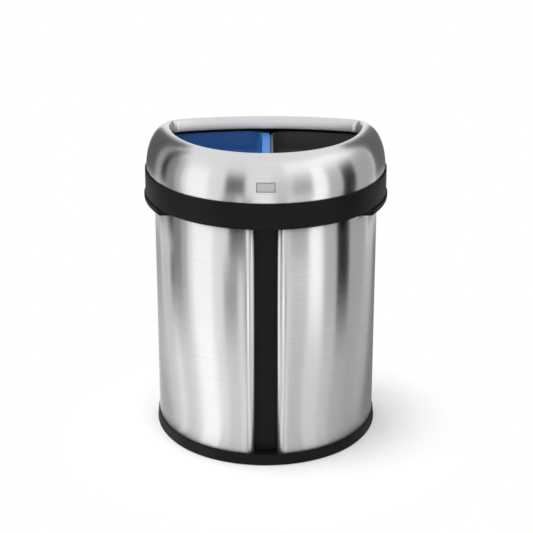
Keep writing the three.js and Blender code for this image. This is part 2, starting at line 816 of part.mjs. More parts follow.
// The dome rises as a quarter oval from the collar to its crest, and falls to the mouth in a
// smaller one. An exponent of 2 is a true oval, and a lower one a flatter curve.
function domeLine() {
  const line = [];
  for (let i = 0; i <= domeSteps; i += 1) {
    const t = (Math.PI / 2) * (i / domeSteps);
    const inward = crestInset * (1 - Math.cos(t) ** (2 / domeFullness));
    const z = domeBottom + crestHeight * Math.sin(t) ** (2 / domeFullness);
    line.push(new THREE.Vector2(ringInset + inward, z));
  }
  for (let i = 1; i <= mouthSteps; i += 1) {
    const t = (Math.PI / 2) * (i / mouthSteps);
    const inward = mouthInset * Math.sin(t) ** (2 / mouthFullness);
    const z = mouthZ + mouthDrop * Math.cos(t) ** (2 / mouthFullness);
    line.push(new THREE.Vector2(ringInset + crestInset + inward, z));
  }
  return line;
}

// The same line, a wall's thickness towards the inside of the dome.
function thickened(line, thickness) {
  return line.map((point, i) => {
    const before = line[Math.max(i - 1, 0)];
    const after = line[Math.min(i + 1, line.length - 1)];
    const along = after.clone().sub(before).normalize();
    return new THREE.Vector2(point.x + along.y * thickness, point.y - along.x * thickness);
  });
}

function ringSection() {
  const outer = domeLine();
  const inner = thickened(outer, ringSteel);
  inner[0].set(outer[0].x + ringSteel, outer[0].y);
  inner.at(-1).y = mouthZ;
  const hemInner = ringInset + ringSteel + hemDepth;
  return [
    [hemInner, hemBottom],
    [ringInset + fineEdge, hemBottom],
    [ringInset, hemBottom + fineEdge],
    ...outer.map((point) => [point.x, point.y]),
    ...inner.reverse().map((point) => [point.x, point.y]),
    [ringInset + ringSteel, hemBottom + ringSteel],
    [hemInner, hemBottom + ringSteel],
  ];
}

function lidRing() {
  const holes = ringSeats.map((screwSeat) => screwHole(screwSeat, ringHoleDepth));
  return cut(toSolid(sweep(ringSection(), allRound, true)), ...holes);
}

// The bead grips the ring's inner edge from both sides.
function mouthBead() {
  const near = mouthEdge + seat;
  const far = mouthEdge - ringSteel - seat;
  const section = [
    [far - beadWall, beadBottom],
    [far - beadWall, beadBottom + beadLeg],
    [far, beadBottom + beadLeg],
    [far, beadBottom + beadWall],
    [near, beadBottom + beadWall],
    [near, beadBottom + beadOuterLeg],
    [near + beadWall, beadBottom + beadOuterLeg],
    [near + beadWall, beadBottom],
  ];
  return toSolid(sweep(section, allRound, true));
}

// The badge is bent to the dome that it lies on.
function badgePlate() {
  const z0 = collarTop + badgeRise;
  const line = [];
  for (let i = 0; i <= 3; i += 1) {
    const z = z0 + (badgeHeight * i) / 3;
    const t = Math.asin(((z - domeBottom) / crestHeight) ** (domeFullness / 2));
    line.push(new THREE.Vector2(ringInset + crestInset * (1 - Math.cos(t) ** (2 / domeFullness)), z));
  }
  const back = thickened(line, -badgeGap);
  const face = thickened(line, -badgeGap - badgeThickness);
  face[0].y += badgeEdge;
  face.at(-1).y -= badgeEdge;
  const half = Math.asin(badgeWidth / 2 / frontRadius);
  const angles = [-1, -0.5, 0, 0.5, 1].map((share) => share * half);
  const section = [...back, ...face.reverse()].map((point) => [point.x, point.y]);
  return toSolid(sweep(section, angles, false));
}

// Soft pads on the top frame, which the collar's shelf rests on.
function bumper(angle) {
  const middle = (frameOuterInset + frameEdge + shelfInset) / 2;
  const half = bumperWidth / 2;
  const z0 = frameTop + seat;
  const z1 = shelfBottom - seat;
  const section = [
    [middle - half, z0],
    [middle - half + bumperTaper, z1],
    [middle + half - bumperTaper, z1],
    [middle + half, z0],
  ];
  return toSolid(sweep(section, [angle - bumperHalfAngle, angle, angle + bumperHalfAngle], false));
}

// ---- Hinges ----
function hingeAxis(x) {
  return new THREE.Vector3(x, hingeY, hingeZ);
}

function roundEnd(from, to, steps) {
  const points = [];
  for (let i = 0; i <= steps; i += 1) {
    const angle = from + ((to - from) * i) / steps;
    points.push([hingeY + knuckleRadius * Math.cos(angle), hingeZ + knuckleRadius * Math.sin(angle)]);
  }
  return points;
}

// All that lies on one side of an inset, inward or outward, along a hinge plate.
function insideOf(inset, z0, z1, from, to, sign, inward) {
  const far = inset + inward * knuckleRadius * 2;
  const section = [[inset, z0], [inset, z1], [far, z1], [far, z0]];
  const angles = anglesBetween(from - plateMargin, to + plateMargin).map((angle) => angle * sign);
  return toSolid(sweep(section, angles, false));
}

// A plate bent to the panel, with two ears that carry the pin.
function hingeBracket(sign) {
  const inner = bodyInset - seat;
  const outer = inner - bracketThickness;
  const half = bracketWidth / 2;
  const bottom = hingeZ - bracketBelow;
  const top = lipBottom - seat;
  const section = [
    [outer, bottom + fineEdge],
    [outer, top],
    [inner, top],
    [inner, bottom],
    [outer + fineEdge, bottom],
  ];
  const from = backAngleAt(hingeSpread + half, bodyInset);
  const to = backAngleAt(hingeSpread - half, bodyInset);
  const angles = anglesBetween(from, to).map((angle) => angle * sign);
  const plate = toSolid(sweep(section, angles, false));
  const plateY = outlinePoint(backAngleAt(hingeSpread, outer), outer).y;
  const root = plateY - lap * 2;
  const profile = [[root, hingeZ + earAbove], ...roundEnd(earEnd, -earEnd, 8), [root, hingeZ - earBelow]];
  const x = sign * hingeSpread;
  const inside = knuckleWidth / 2 + earGap;
  const ears = [x - hingeHalf, x + inside].map((x0) => acrossBin(profile, x0, x0 + earThickness));
  const clear = insideOf(inner, bottom - lap, top + knuckleRadius * 2, from, to, sign, 1);
  const bore = rod(pinRadius + pinGap, hingeAxis(x), alongX, -hingeHalf - lap, hingeHalf + lap);
  const holes = bracketSeats.map((screwSeat) => screwHole(screwSeat, holeDepth));
  return cut(joined(plate, ...ears), clear, bore, ...holes);
}

// A plate on the inside of the collar, with a knuckle between the bracket's ears. The heel below
// the knuckle swings against the bracket when the lid is fully open.
function hingeLeaf(sign) {
  const outer = collarThickness + seat;
  const inner = outer + leafThickness;
  const half = leafWidth / 2;
  const bottom = hingeZ + leafBelow;
  const top = shelfBottom - seat;
  const section = [[outer, bottom], [outer, top], [inner, top], [inner, bottom]];
  const from = backAngleAt(hingeSpread + half, outer);
  const to = backAngleAt(hingeSpread - half, outer);
  const angles = anglesBetween(from, to).map((angle) => angle * sign);
  const plate = toSolid(sweep(section, angles, false));
  const x = sign * hingeSpread;
  const side = knuckleWidth / 2;
  const leafY = outlinePoint(backAngleAt(hingeSpread, inner), inner).y;
  const neck = box(x - side, x + side, leafY, leafY + neckDepth, hingeZ, bottom + lap);
  const knuckle = rod(knuckleRadius, hingeAxis(x), alongX, -side, side, 20);
  const plateInset = bodyInset - seat - bracketThickness;
  const plateY = outlinePoint(backAngleAt(hingeSpread - side, plateInset), plateInset).y;
  const heelLength = (hingeY - plateY - seat * 2 + heelFront * Math.cos(lidOpenAngle)) / Math.sin(lidOpenAngle);
  const heel = box(x - side, x + side, hingeY + heelFront, hingeY + heelBack, hingeZ - heelLength, hingeZ);
  const outside = insideOf(outer, bottom - lap, top + lap, from, to, sign, -1);
  const bore = rod(pinRadius + pinGap, hingeAxis(x), alongX, -side - lap, side + lap);
  const holes = leafSeats.map((screwSeat) => screwHole(screwSeat, holeDepth));
  return cut(joined(plate, cut(neck, outside), knuckle, heel), bore, ...holes);
}

function hingePin(sign) {
  const end = hingeHalf + seat;
  const profile = [
    [0, -end - pinHeadHeight],
    [pinHeadRadius - fineEdge, -end - pinHeadHeight],
    [pinHeadRadius, -end],
    [pinRadius, -end],
    [pinRadius, end],
    [pinRadius - fineEdge, end + fineEdge],
    [0, end + fineEdge],
  ];
  return turned(profile, hingeAxis(sign * hingeSpread), new THREE.Vector3(sign, 0, 0), 16);
}

// ---- Buckets ----
const blackWallX = blueRimRight + blackRimGap + blackRimWidth + bucketWall;

// How far the walls stand in from their place at the rim.
function bucketInsetAt(z) {
  return (bucketRimTop - z) * Math.tan(bucketDraft);
}

// Half of the bin's outline closed by a straight middle wall, for the right-hand side.
function bucketLoop(wallX, inset, corner) {
  const front = arcs[0];
  const back = arcs.at(-1);
  const a0 = Math.asin((wallX + corner) / (front.radius - inset - corner));
  const a1 = Math.PI - Math.asin((wallX + corner) / (back.radius - inset - corner));
  const points = [];
  const addCorner = (centre, from, to) => {
    for (let i = 0; i < bucketSteps.corner; i += 1) {
      const angle = from + ((to - from) * i) / bucketSteps.corner;
      const x = centre.x + corner * Math.sin(angle);
      points.push(new THREE.Vector2(x, centre.y - corner * Math.cos(angle)));
    }
  };
  addCorner(onArc(front, a0, inset + corner), -Math.PI / 2, a0);
  const stops = [a0, arcs[0].to, arcs[1].to, arcs[2].to, a1];
  const steps = bucketSteps.arcs;
  arcs.forEach((arc, k) => {
    for (let i = 0; i < steps[k]; i += 1) {
      const angle = stops[k] + ((stops[k + 1] - stops[k]) * i) / steps[k];
      points.push(onArc(arc, angle, inset));
    }
  });
  addCorner(onArc(back, a1, inset + corner), a1, Math.PI * 1.5);
  const last = onArc(back, a1, inset + corner);
  points.push(new THREE.Vector2(last.x - corner, last.y));
  return points;
}

// The walls of a bucket: its middle wall's inner face at the rim, and the rim's width there.
function bucket(sign, innerX, middleRim) {
  const wallX = innerX - bucketWall;
  const atWall = (inward, z) => ({
    loop: bucketLoop(wallX + inward, bucketRimInset + bucketRimWidth + inward, bucketCorner - inward),
    z,
  });
  const rimCorner = bucketCorner + bucketRimWidth;
  const atRim = (inward, z) => ({
    loop: bucketLoop(wallX - middleRim + inward, bucketRimInset + inward, rimCorner - inward),
    z,
  });
  const drafted = (inward, z) => atWall(bucketInsetAt(z) + inward, z);
  const bottom = bucketBottom;
  const stepTop = bucketRimTop - bucketStepHeight;
  const stepBottom = stepTop - bucketStep * 2;
  const plate = bottom + bucketFoot.height;
  const footInner = bucketFoot.inset + bucketFoot.width;
  const levels = [
    drafted(footInner + bucketFoot.slope, plate),
    drafted(footInner, bottom),
    drafted(bucketFoot.inset, bottom),
    drafted(bucketStep, bottom + bucketHeel),
    drafted(bucketStep, stepBottom),
    drafted(0, stepTop),
    drafted(0, bucketRimTop - bucketRimThickness),
    atRim(bucketWall, bucketRimTop - bucketRimThickness),
    atRim(bucketWall, bucketRimTop - bucketRimDrop),
    atRim(0, bucketRimTop - bucketRimDrop),
    atRim(0, bucketRimTop - softEdge),
    atRim(softEdge, bucketRimTop),
    drafted(bucketWall - bucketRimDraft, bucketRimTop),
    drafted(bucketWall, stepTop),
    drafted(bucketWall + bucketStep, stepBottom),
    drafted(bucketWall + bucketStep, plate + bucketWall + bucketFillet),
    drafted(bucketWall + bucketStep + bucketFillet, plate + bucketWall),
  ];
  const shell = toSolid(vessel(levels.map(({ loop, z }) => ({
    loop: loop.map((point) => new THREE.Vector2(point.x * sign, point.y)),
    z,
  }))));
  return cut(shell, handSlot(sign));
}

// A rounded slot through the bucket's outer wall, wide enough for four fingers.
function handSlot(sign) {
  const half = slotWidth / 2;
  const round = slotHeight / 2;
  const z = bucketRimTop - slotDrop;
  const middle = widestY - slotForward;
  const shape = new THREE.Shape();
  shape.absarc(half - round, 0, round, -Math.PI / 2, Math.PI / 2, false);
  shape.absarc(round - half, 0, round, Math.PI / 2, Math.PI * 1.5, false);
  const depth = slotReach * 2;
  const geometry = new THREE.ExtrudeGeometry(shape, { depth, bevelEnabled: false, curveSegments: 6 });
  geometry.rotateX(Math.PI / 2).rotateZ(Math.PI / 2);
  const wallAt = halfWidth - bucketRimInset - bucketRimWidth;
  return toSolid(geometry.translate(sign * wallAt - slotReach, middle, z));
}

// ---- The bin, from the floor up ----
for (const { name, at } of footPlaces) {
  place(name, 'blackRubber', foot(at));
}
place('base_tray', 'blackPlastic', baseTray());
for (const { side, sign } of sides) {
  place(`panel_${side}`, 'brushedSteel', panel(sign));
}
place('front_strip', 'blackPlastic', frontStrip());
place('back_strip', 'blackPlastic', backStrip());
place('top_frame', 'blackPlastic', topFrame());
for (const { side, sign } of sides) {
  place(`grip_${side}`, 'blackPlastic', grip(sign));
}
placeScrews('grip_screw', gripSeats, gripWall + seat + pastSheet);
place('bucket_blue', 'bucketBlue', bucket(-1, -blueRimLeft, blueRimRight - blueRimLeft - bucketWall));
place('bucket_black', 'bucketBlack', bucket(1, blackWallX, blackRimWidth));
for (const { side, sign } of sides) {
  place(`lid_bumper_front_${side}`, 'blackRubber', bumper(sign * bumperFrontAngle));
  place(`lid_bumper_back_${side}`, 'blackRubber', bumper(sign * bumperBackAngle));
}
place('lid_collar', 'blackPlastic', collar());
place('lid_ring', 'brushedSteel', lidRing());
placeScrews('ring_screw', ringSeats, ringScrewLength);
place('mouth_bead', 'blackPlastic', mouthBead());
place('badge_plate', 'badgeMetal', badgePlate());
for (const { side, sign } of sides) {
  place(`hinge_bracket_${side}`, 'zincSteel', hingeBracket(sign));
  place(`hinge_leaf_${side}`, 'zincSteel', hingeLeaf(sign));
  place(`hinge_pin_${side}`, 'zincSteel', hingePin(sign));
}
placeScrews('bracket_screw', bracketSeats, bracketThickness + seat + pastSheet);
placeScrews('leaf_screw', leafSeats, leafScrewLength);

export default bin;
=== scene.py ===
"""A half-round double recycling bin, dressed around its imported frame.

Lengths are in metres. The frame's origin is on the floor under the middle of the bin, +Z is up and
the front faces -Y. A place on the plan outline is given by the angle that the outline faces
(0 front, 90 right, 180 back) and by an inset from the collar's outer face.
"""

import math

import bmesh
import bpy
from bpy.props import FloatProperty, FloatVectorProperty, PointerProperty
from mathutils import Matrix, Vector


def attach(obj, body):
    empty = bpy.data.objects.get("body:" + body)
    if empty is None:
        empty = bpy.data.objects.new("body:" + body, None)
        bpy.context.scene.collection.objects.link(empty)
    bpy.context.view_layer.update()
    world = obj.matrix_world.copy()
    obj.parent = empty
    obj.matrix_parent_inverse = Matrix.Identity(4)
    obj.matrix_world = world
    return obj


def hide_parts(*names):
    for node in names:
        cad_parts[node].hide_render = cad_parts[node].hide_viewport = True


bl_info = {
    "name": "Double Recycling Bin",
    "version": (1, 0, 0),
    "blender": (4, 5, 0),
    "location": "View3D > Sidebar > Bin",
    "description": "Dresses the packed frame of a half-round double recycling bin",
    "category": "Object",
}

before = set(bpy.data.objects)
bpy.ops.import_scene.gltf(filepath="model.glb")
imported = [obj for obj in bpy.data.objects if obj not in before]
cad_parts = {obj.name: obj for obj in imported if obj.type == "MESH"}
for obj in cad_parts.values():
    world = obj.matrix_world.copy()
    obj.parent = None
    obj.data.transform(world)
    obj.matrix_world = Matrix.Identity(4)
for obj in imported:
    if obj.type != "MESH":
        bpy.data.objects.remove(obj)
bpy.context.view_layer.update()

GRAIN_MAP = "grain"
SIDES = (("left", -1), ("right", 1))
MM = 0.001


def mm(*values):
    """Values in millimetres, as a list in metres."""
    return [value * MM for value in values]


def metres(name, description, default):
    return FloatProperty(
        name=name, description=description, default=default, unit="LENGTH", subtype="DISTANCE"
    )


def length(name, description, default):
    """A length in millimetres, kept in metres."""
    return metres(name, description, default * MM)


def angle(name, description, default):
    """An angle in degrees, kept in radians."""
    return FloatProperty(name=name, description=description, default=math.radians(default), subtype="ANGLE")


def share(name, description, default):
    return FloatProperty(
        name=name, description=description, default=default, min=0.0, max=1.0, subtype="FACTOR"
    )


def colour(name, description, default):
    return FloatVectorProperty(
        name=name, description=description, default=default, size=3, min=0, max=1, subtype="COLOR"
    )


def number(name, description, default):
    return FloatProperty(name=name, description=description, default=default)


# ---- Sizes and finishes ----

class BIN_PG_plan(bpy.types.PropertyGroup):
    """The plan outline, drawn by tangent arcs round the collar's outer face."""

    width: length("Width", "Across the collar at the widest line", 560)
    front_depth: length("Front depth", "From the widest line to the front", 307)
    back_depth: length("Back depth", "From the widest line to the back", 118)
    back_bow: length("Back bow", "How far the back bows out behind its corners", 28)
    front_arc: angle("Front arc", "Facing angle where the front arc meets the side arc", 54.7)
    station: length("Station", "Distance between two stations of a sweep", 9)
    seat: length("Seat", "Gap between a piece and what it rests on", 0.3)


class BIN_PG_body(bpy.types.PropertyGroup):
    """The steel body, its strips and the plastic base."""

    base_inset: length("Base inset", "From the outline to the base rim", 16)
    base_top: length("Base top", "Height of the base rim", 26.9)
    base_lean: length("Base lean", "How far the rim leans in towards its top", 2.5)
    base_floor: length("Base floor", "Underside of the floor plate", 8)
    floor_thickness: length("Floor thickness", "Thickness of the floor plate", 3)
    rim_wall: length("Rim wall", "Thickness of the base rim", 3.2)
    upstand: length("Upstand", "Height of the base's upstand inside the panels", 21)
    foot_height: length("Foot height", "Height of a foot", 5)
    foot_radius: length("Foot radius", "Radius of a foot", 15)
    foot_inset: length("Foot inset", "From the outline to a foot's middle", 52)
    inset: length("Body inset", "From the outline to the steel", 21)
    steel: length("Steel", "Thickness of the sheet", 1)
    height: length("Panel height", "Height of the steel panels", 571)
    roll: length("Roll", "Radius of the panels' rolled front edges", 17.5)
    strip_shows: length("Strip width", "Width of the front recess", 45)
    strip_tuck: length("Strip tuck", "How far the strip goes behind a roll", 11)
    back_seam: length("Back seam", "Half of the gap between the panels at the back", 3.2)
    back_cover: length("Back cover", "Width of the cover over the back seam", 34)


class BIN_PG_lid(bpy.types.PropertyGroup):
    """The lid: collar, domed ring, bead and badge."""

    collar_bottom: length("Collar bottom", "Height of the collar's lower edge", 575.5)
    collar_height: length("Collar height", "Height of the collar", 58.6)
    collar_wall: length("Collar wall", "Thickness of the collar", 3)
    shelf_bottom: length("Shelf", "Underside of the shelf inside the collar", 605)
    shelf_inset: length("Shelf inset", "From the outline to the shelf's edge", 16)
    ring_inset: length("Ring inset", "From the outline to the ring", 3.3)
    ring_rise: length("Ring rise", "Upright stretch of the ring above the collar", 4.6)
    crest_inset: length("Crest inset", "From the ring's face to its highest line", 53)
    crest_height: length("Crest height", "Height of the dome alone", 92.8)
    mouth_inset: length("Mouth inset", "From the crest to the mouth's edge", 9.1)
    mouth_drop: length("Mouth drop", "From the crest down to the mouth's edge", 26.6)
    dome_fullness: number("Dome fullness", "Exponent of the dome's curve", 1.93)
    mouth_fullness: number("Mouth fullness", "Exponent of the mouth's curve", 1.52)
    badge_width: length("Badge width", "Width of the bare badge", 42)
    badge_height: length("Badge height", "Height of the bare badge", 20.5)
    badge_rise: length("Badge rise", "From the collar's top to the badge", 25)
    badge_corner: length("Badge corner", "Corner radius of the badge", 2.4)
    hinge_spread: length("Hinge spread", "From the middle to each hinge", 95)
    hinge_setback: length("Hinge setback", "From the back of the collar to the pin", 7)


class BIN_PG_buckets(bpy.types.PropertyGroup):
    """The two lift-out buckets and the grips."""

    rim_top: length("Rim top", "Height of the bucket rims", 694)
    rim_inset: length("Rim inset", "From the outline to a rim", 38)
    rim_width: length("Rim width", "Width of a rim", 8)
    rim_drop: length("Rim drop", "Height of a rim's turned-down edge", 9)
    wall: length("Wall", "Thickness of a bucket's wall", 2.5)
    draft: angle("Draft", "Draft of a bucket's walls", 1.2)
    corner: length("Corner", "Corner radius at the middle wall", 36)
    blue_inner: length("Blue inner face", "Where the blue bucket's middle wall is", -8.6)
    blue_edge: length("Blue edge", "Free edge of the blue rim", 10.6)
    grip_front: length("Grip front", "From the widest line to a grip's front end", 158)
    grip_back: length("Grip back", "From the widest line to a grip's back end", 52)
    grip_proud: length("Grip proud", "How far a grip stands beyond the collar", 3)


class BIN_PG_finish(bpy.types.PropertyGroup):
    """Colours and surface values."""

    steel: colour("Steel", "Brushed stainless steel", (0.7, 0.7, 0.71))
    steel_roughness: share("Steel roughness", "Roughness of the brushed steel", 0.255)
    grain: share("Grain", "Strength of the brushing", 0.32)
    black: colour("Black plastic", "Collar, base, strips and grips", (0.0052, 0.0052, 0.0057))
    black_roughness: share("Black roughness", "Roughness of the black plastic", 0.5)
    bucket_black: colour("Bucket black", "The black bucket", (0.05, 0.05, 0.053))
    bucket_blue: colour("Bucket blue", "The blue bucket", (0.033, 0.145, 0.42))
    rubber: colour("Rubber", "Feet and bumpers", (0.014, 0.014, 0.014))
    zinc: colour("Zinc", "Hinges and screws", (0.5, 0.51, 0.52))
    badge: colour("Badge", "Pale face of the badge", (0.47, 0.47, 0.49))
    badge_edge: colour("Badge edge", "Border of the badge", (0.17, 0.17, 0.178))


class BIN_PG_studio(bpy.types.PropertyGroup):
    """Floor, lights and camera."""

    floor: colour("Floor", "The pale floor", (0.92, 0.92, 0.92))
    glow: share("Floor glow", "Share of plain white in the floor near the bin", 0.35)
    shadow_start: metres("Shadow start", "Where the floor begins to run into white", 0.28)
    shadow_reach: metres("Shadow reach", "Where the floor has run into plain white", 0.5)
    room_level: number("Room level", "Soft light from all round", 0.6)
    card_radius: metres("Card radius", "From the middle of the bin to the cards", 0.65)
    card_softness: number("Card softness", "Width of a card's soft edges in degrees", 1.5)
    card_fade: metres("Card fade", "Height over which a card's top fades out", 0.12)
    card_rise: metres("Card rise", "Height at which a card has reached its own level", 0.36)
    distance: metres("Distance", "From the middle of the bin to the camera, along the floor", 3.4138)
    camera_height: metres("Camera height", "Height of the camera", 1.6599)
    pitch: angle("Pitch", "How far the camera looks down", 20.745)
    lens: number("Lens", "Focal length in millimetres", 106.03)
    shift_x: number("Shift across", "How far the picture is shifted sideways, in picture widths", 0.0013)
    shift_y: number("Shift up", "How far the picture is shifted upwards, in picture widths", 0.0366)


GROUPS = {
    "bin_plan": BIN_PG_plan,
    "bin_body": BIN_PG_body,
    "bin_lid": BIN_PG_lid,
    "bin_buckets": BIN_PG_buckets,
    "bin_finish": BIN_PG_finish,
    "bin_studio": BIN_PG_studio,
}


# ---- Plan outline ----

class Outline:
    """The plan outline and its insets. Each arc is (last facing angle, radius, centre x, centre y)."""

    def __init__(self, plan):
        self.half = plan.width / 2
        front, back, bow, turn = plan.front_depth, plan.back_depth, plan.back_bow, plan.front_arc
        self.widest_y = (front - back) / 2
        self.front_y = self.widest_y - front
        self.back_y = self.widest_y + back
        sine, cosine = math.sin(turn), math.cos(turn)
        spread = sine + cosine - 1
        self.front_radius = (self.half * cosine - front * (1 - sine)) / spread
        self.side_radius = (front * sine - self.half * (1 - cosine)) / spread
        self.corner_radius = back - bow
        reach = self.half - self.corner_radius
        back_turn = 2 * math.atan(bow / reach)
        self.back_radius = self.corner_radius + reach / math.sin(back_turn)
        self.station = plan.station
        self.arcs = (
            (turn, self.front_radius, 0.0, self.front_y + self.front_radius),
            (math.pi / 2, self.side_radius, self.half - self.side_radius, self.widest_y),
            (math.pi - back_turn, self.corner_radius, reach, self.widest_y),
            (math.pi, self.back_radius, 0.0, self.back_y - self.back_radius),
        )

    def point(self, facing, inset):
        """The outline's point at a facing angle, negative on the left."""
        size = abs(facing)
        to, radius, x, y = next((arc for arc in self.arcs if size <= arc[0]), self.arcs[-1])
        x += (radius - inset) * math.sin(size)
        return Vector((math.copysign(x, facing), y - (radius - inset) * math.cos(size)))

    def angles(self, start, end):
        """Facing angles of one side between two, a station apart."""
        found, low = [start], 0.0
        for to, radius, _, _ in self.arcs:
            first, last = max(low, start), min(to, end)
            if last > first:
                steps = max(1, math.ceil((last - first) * radius / self.station))
                found += [first + (last - first) * i / steps for i in range(1, steps + 1)]
            low = to
        return found

    def all_round(self):
        right = self.angles(0.0, math.pi)
        return [-facing for facing in reversed(right[1:-1])] + right

    def back_angle(self, x, inset):
        return math.pi - math.asin(x / (self.back_radius - inset))

    def side_angle(self, y, inset):
        radius = self.side_radius if y < self.widest_y else self.corner_radius
        return math.pi / 2 + math.asin((y - self.widest_y) / (radius - inset))

    def side_x(self, y, inset):
        """How far out the side lies at a depth."""
        radius = self.side_radius if y < self.widest_y else self.corner_radius
        reach = radius - inset
        return self.half - radius + math.sqrt(reach * reach - (y - self.widest_y) ** 2)


# ---- Mesh making ----

def rounded(points, radii, steps=4):
    """A closed section with its corners rounded. radii is one radius, or one for each corner."""
    count = len(points)
    radii = [radii] * count if isinstance(radii, (int, float)) else radii
    section = []
    for i, (x, y) in enumerate(points):
        here, before, after = Vector((x, y)), Vector(points[i - 1]), Vector(points[(i + 1) % count])
        back, ahead = before - here, after - here
        radius = min(radii[i], back.length * 0.48, ahead.length * 0.48)
        if radius < 1e-6:
            section.append(here)
            continue
        start, end = here + back.normalized() * radius, here + ahead.normalized() * radius
        for k in range(steps + 1):
            t = k / steps
            section.append(start * (1 - t) ** 2 + here * (2 * t * (1 - t)) + end * t * t)
    return section


def skin(rows, close_rows=False, close_columns=True, caps=True):
    """A mesh over rows of points. Its map is in metres, with u from row to row and v along a row."""
    mesh = bmesh.new()
    grain = mesh.loops.layers.uv.new(GRAIN_MAP)
    verts = [[mesh.verts.new(point) for point in row] for row in rows]
    count, width = len(rows), len(rows[0])
    middle = width // 2
    u, v = [0.0], [0.0]
    for i in range(count):
        u.append(u[-1] + (Vector(rows[(i + 1) % count][middle]) - Vector(rows[i][middle])).length)
    for j in range(width):
        v.append(v[-1] + (Vector(rows[0][(j + 1) % width]) - Vector(rows[0][j])).length)
    for i in range(count if close_rows else count - 1):
        for j in range(width if close_columns else width - 1):
            i2, j2 = (i + 1) % count, (j + 1) % width
            face = mesh.faces.new((verts[i][j], verts[i][j2], verts[i2][j2], verts[i2][j]))
            for loop, place in zip(face.loops, ((i, j), (i, j + 1), (i + 1, j + 1), (i + 1, j))):
                loop[grain].uv = (u[place[0]], v[place[1]])
    if caps and not close_rows:
        ends = [mesh.faces.new(verts[0]), mesh.faces.new(list(reversed(verts[-1])))]
        for face in ends:
            for loop in face.loops:
                loop[grain].uv = (loop.vert.co.x, loop.vert.co.y)
        bmesh.ops.triangulate(mesh, faces=ends)
    bmesh.ops.recalc_face_normals(mesh, faces=mesh.faces)
    return mesh


def sweep(outline, section, facings, closed=False):
    """A section of insets and heights, carried round the outline."""
    rows = []
    for facing in facings:
        row = [outline.point(facing, inset) for inset, _ in section]
        rows.append([(p.x, p.y, z) for p, (_, z) in zip(row, section)])
    return skin(rows, close_rows=closed)


def raised(points, z0, z1):
    """A flat profile, raised between two heights."""
    return skin([[(x, y, z0) for x, y in points], [(x, y, z1) for x, y in points]])


def across(points, x0, x1):
    """A profile of depths and heights, drawn out across the bin."""
    return skin([[(x0, y, z) for y, z in points], [(x1, y, z) for y, z in points]])


def lengthwise(points, y0, y1):
    """A profile of widths and heights, drawn out through the bin's depth."""
    return skin([[(x, y0, z) for x, z in points], [(x, y1, z) for x, z in points]])


def upright(inset0, inset1, z0, z1):
    """A flat section between two insets and two heights."""
    return [(inset0, z0), (inset0, z1), (inset1, z1), (inset1, z0)]


def block(x0, x1, y0, y1, z0, z1):
    return raised(((x0, y0), (x1, y0), (x1, y1), (x0, y1)), z0, z1)


def turned(profile, origin, axis, segments=40):
    """A turned piece. profile holds radii and heights, and its two ends lie on the axis."""
    turn = Vector((0, 0, 1)).rotation_difference(Vector(axis)).to_matrix()
    mesh = bmesh.new()
    grain = mesh.loops.layers.uv.new(GRAIN_MAP)
    rings = []
    for radius, height in profile:
        if radius < 1e-7:
            rings.append([mesh.verts.new(Vector(origin) + turn @ Vector((0, 0, height)))])
            continue
        ring = []
        for k in range(segments):
            around = 2 * math.pi * k / segments
            spot = Vector((radius * math.cos(around), radius * math.sin(around), height))
            ring.append(mesh.verts.new(Vector(origin) + turn @ spot))
        rings.append(ring)
    for low, high in zip(rings, rings[1:]):
        for k in range(segments):
            k2 = (k + 1) % segments
            corners = [low[k % len(low)], low[k2 % len(low)], high[k2 % len(high)], high[k % len(high)]]
            corners = list(dict.fromkeys(corners))
            if len(corners) > 2:
                face = mesh.faces.new(corners)
                for loop in face.loops:
                    loop[grain].uv = (loop.vert.co.x, loop.vert.co.y)
    bmesh.ops.recalc_face_normals(mesh, faces=mesh.faces)
    return mesh


def new_object(name, mesh, material=None, crease=35):
    """An object of a mesh, smooth apart from edges sharper than the crease in degrees."""
    data = bpy.data.meshes.new(name)
    mesh.to_mesh(data)
    mesh.free()
    data.shade_smooth()
    data.set_sharp_from_angle(angle=math.radians(crease))
    obj = bpy.data.objects.new(name, data)
    bpy.context.scene.collection.objects.link(obj)
    if material:
        data.materials.append(material)
    return obj


def settle(obj, crease=35):
    """Applies an object's modifiers to its mesh."""
    graph = bpy.context.evaluated_depsgraph_get()
    data = bpy.data.meshes.new_from_object(obj.evaluated_get(graph))
    old = obj.data
    obj.modifiers.clear()
    obj.data = data
    data.name = obj.name
    bpy.data.meshes.remove(old)
    data.shade_smooth()
    data.set_sharp_from_angle(angle=math.radians(crease))
    return obj


def combine(obj, meshes, operation, crease=35):
    """Joins or cuts an object with other meshes."""
    tools = [new_object(f"{obj.name}_tool_{i}", mesh) for i, mesh in enumerate(meshes)]
    for tool in tools:
        modifier = obj.modifiers.new("combine", "BOOLEAN")
        modifier.operation = operation
        modifier.solver = "MANIFOLD"
        modifier.object = tool
    settle(obj, crease)
    for tool in tools:
        data = tool.data
        bpy.data.objects.remove(tool)
        bpy.data.meshes.remove(data)
    if not obj.data.polygons:
        raise RuntimeError(f"{obj.name} came out empty")
    return obj


def bevel(obj, width, segments=3, limit=40):
    modifier = obj.modifiers.new("bevel", "BEVEL")
    modifier.width = width
    modifier.segments = segments
    modifier.limit_method = "ANGLE"
    modifier.angle_limit = math.radians(limit)
    modifier.harden_normals = False
    return settle(obj)


def dress(obj, body, slot, *nodes):
    """Puts a piece on its body, in place of its nodes."""
    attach(obj, body)
    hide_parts(*nodes)
    return obj


# ---- Materials ----

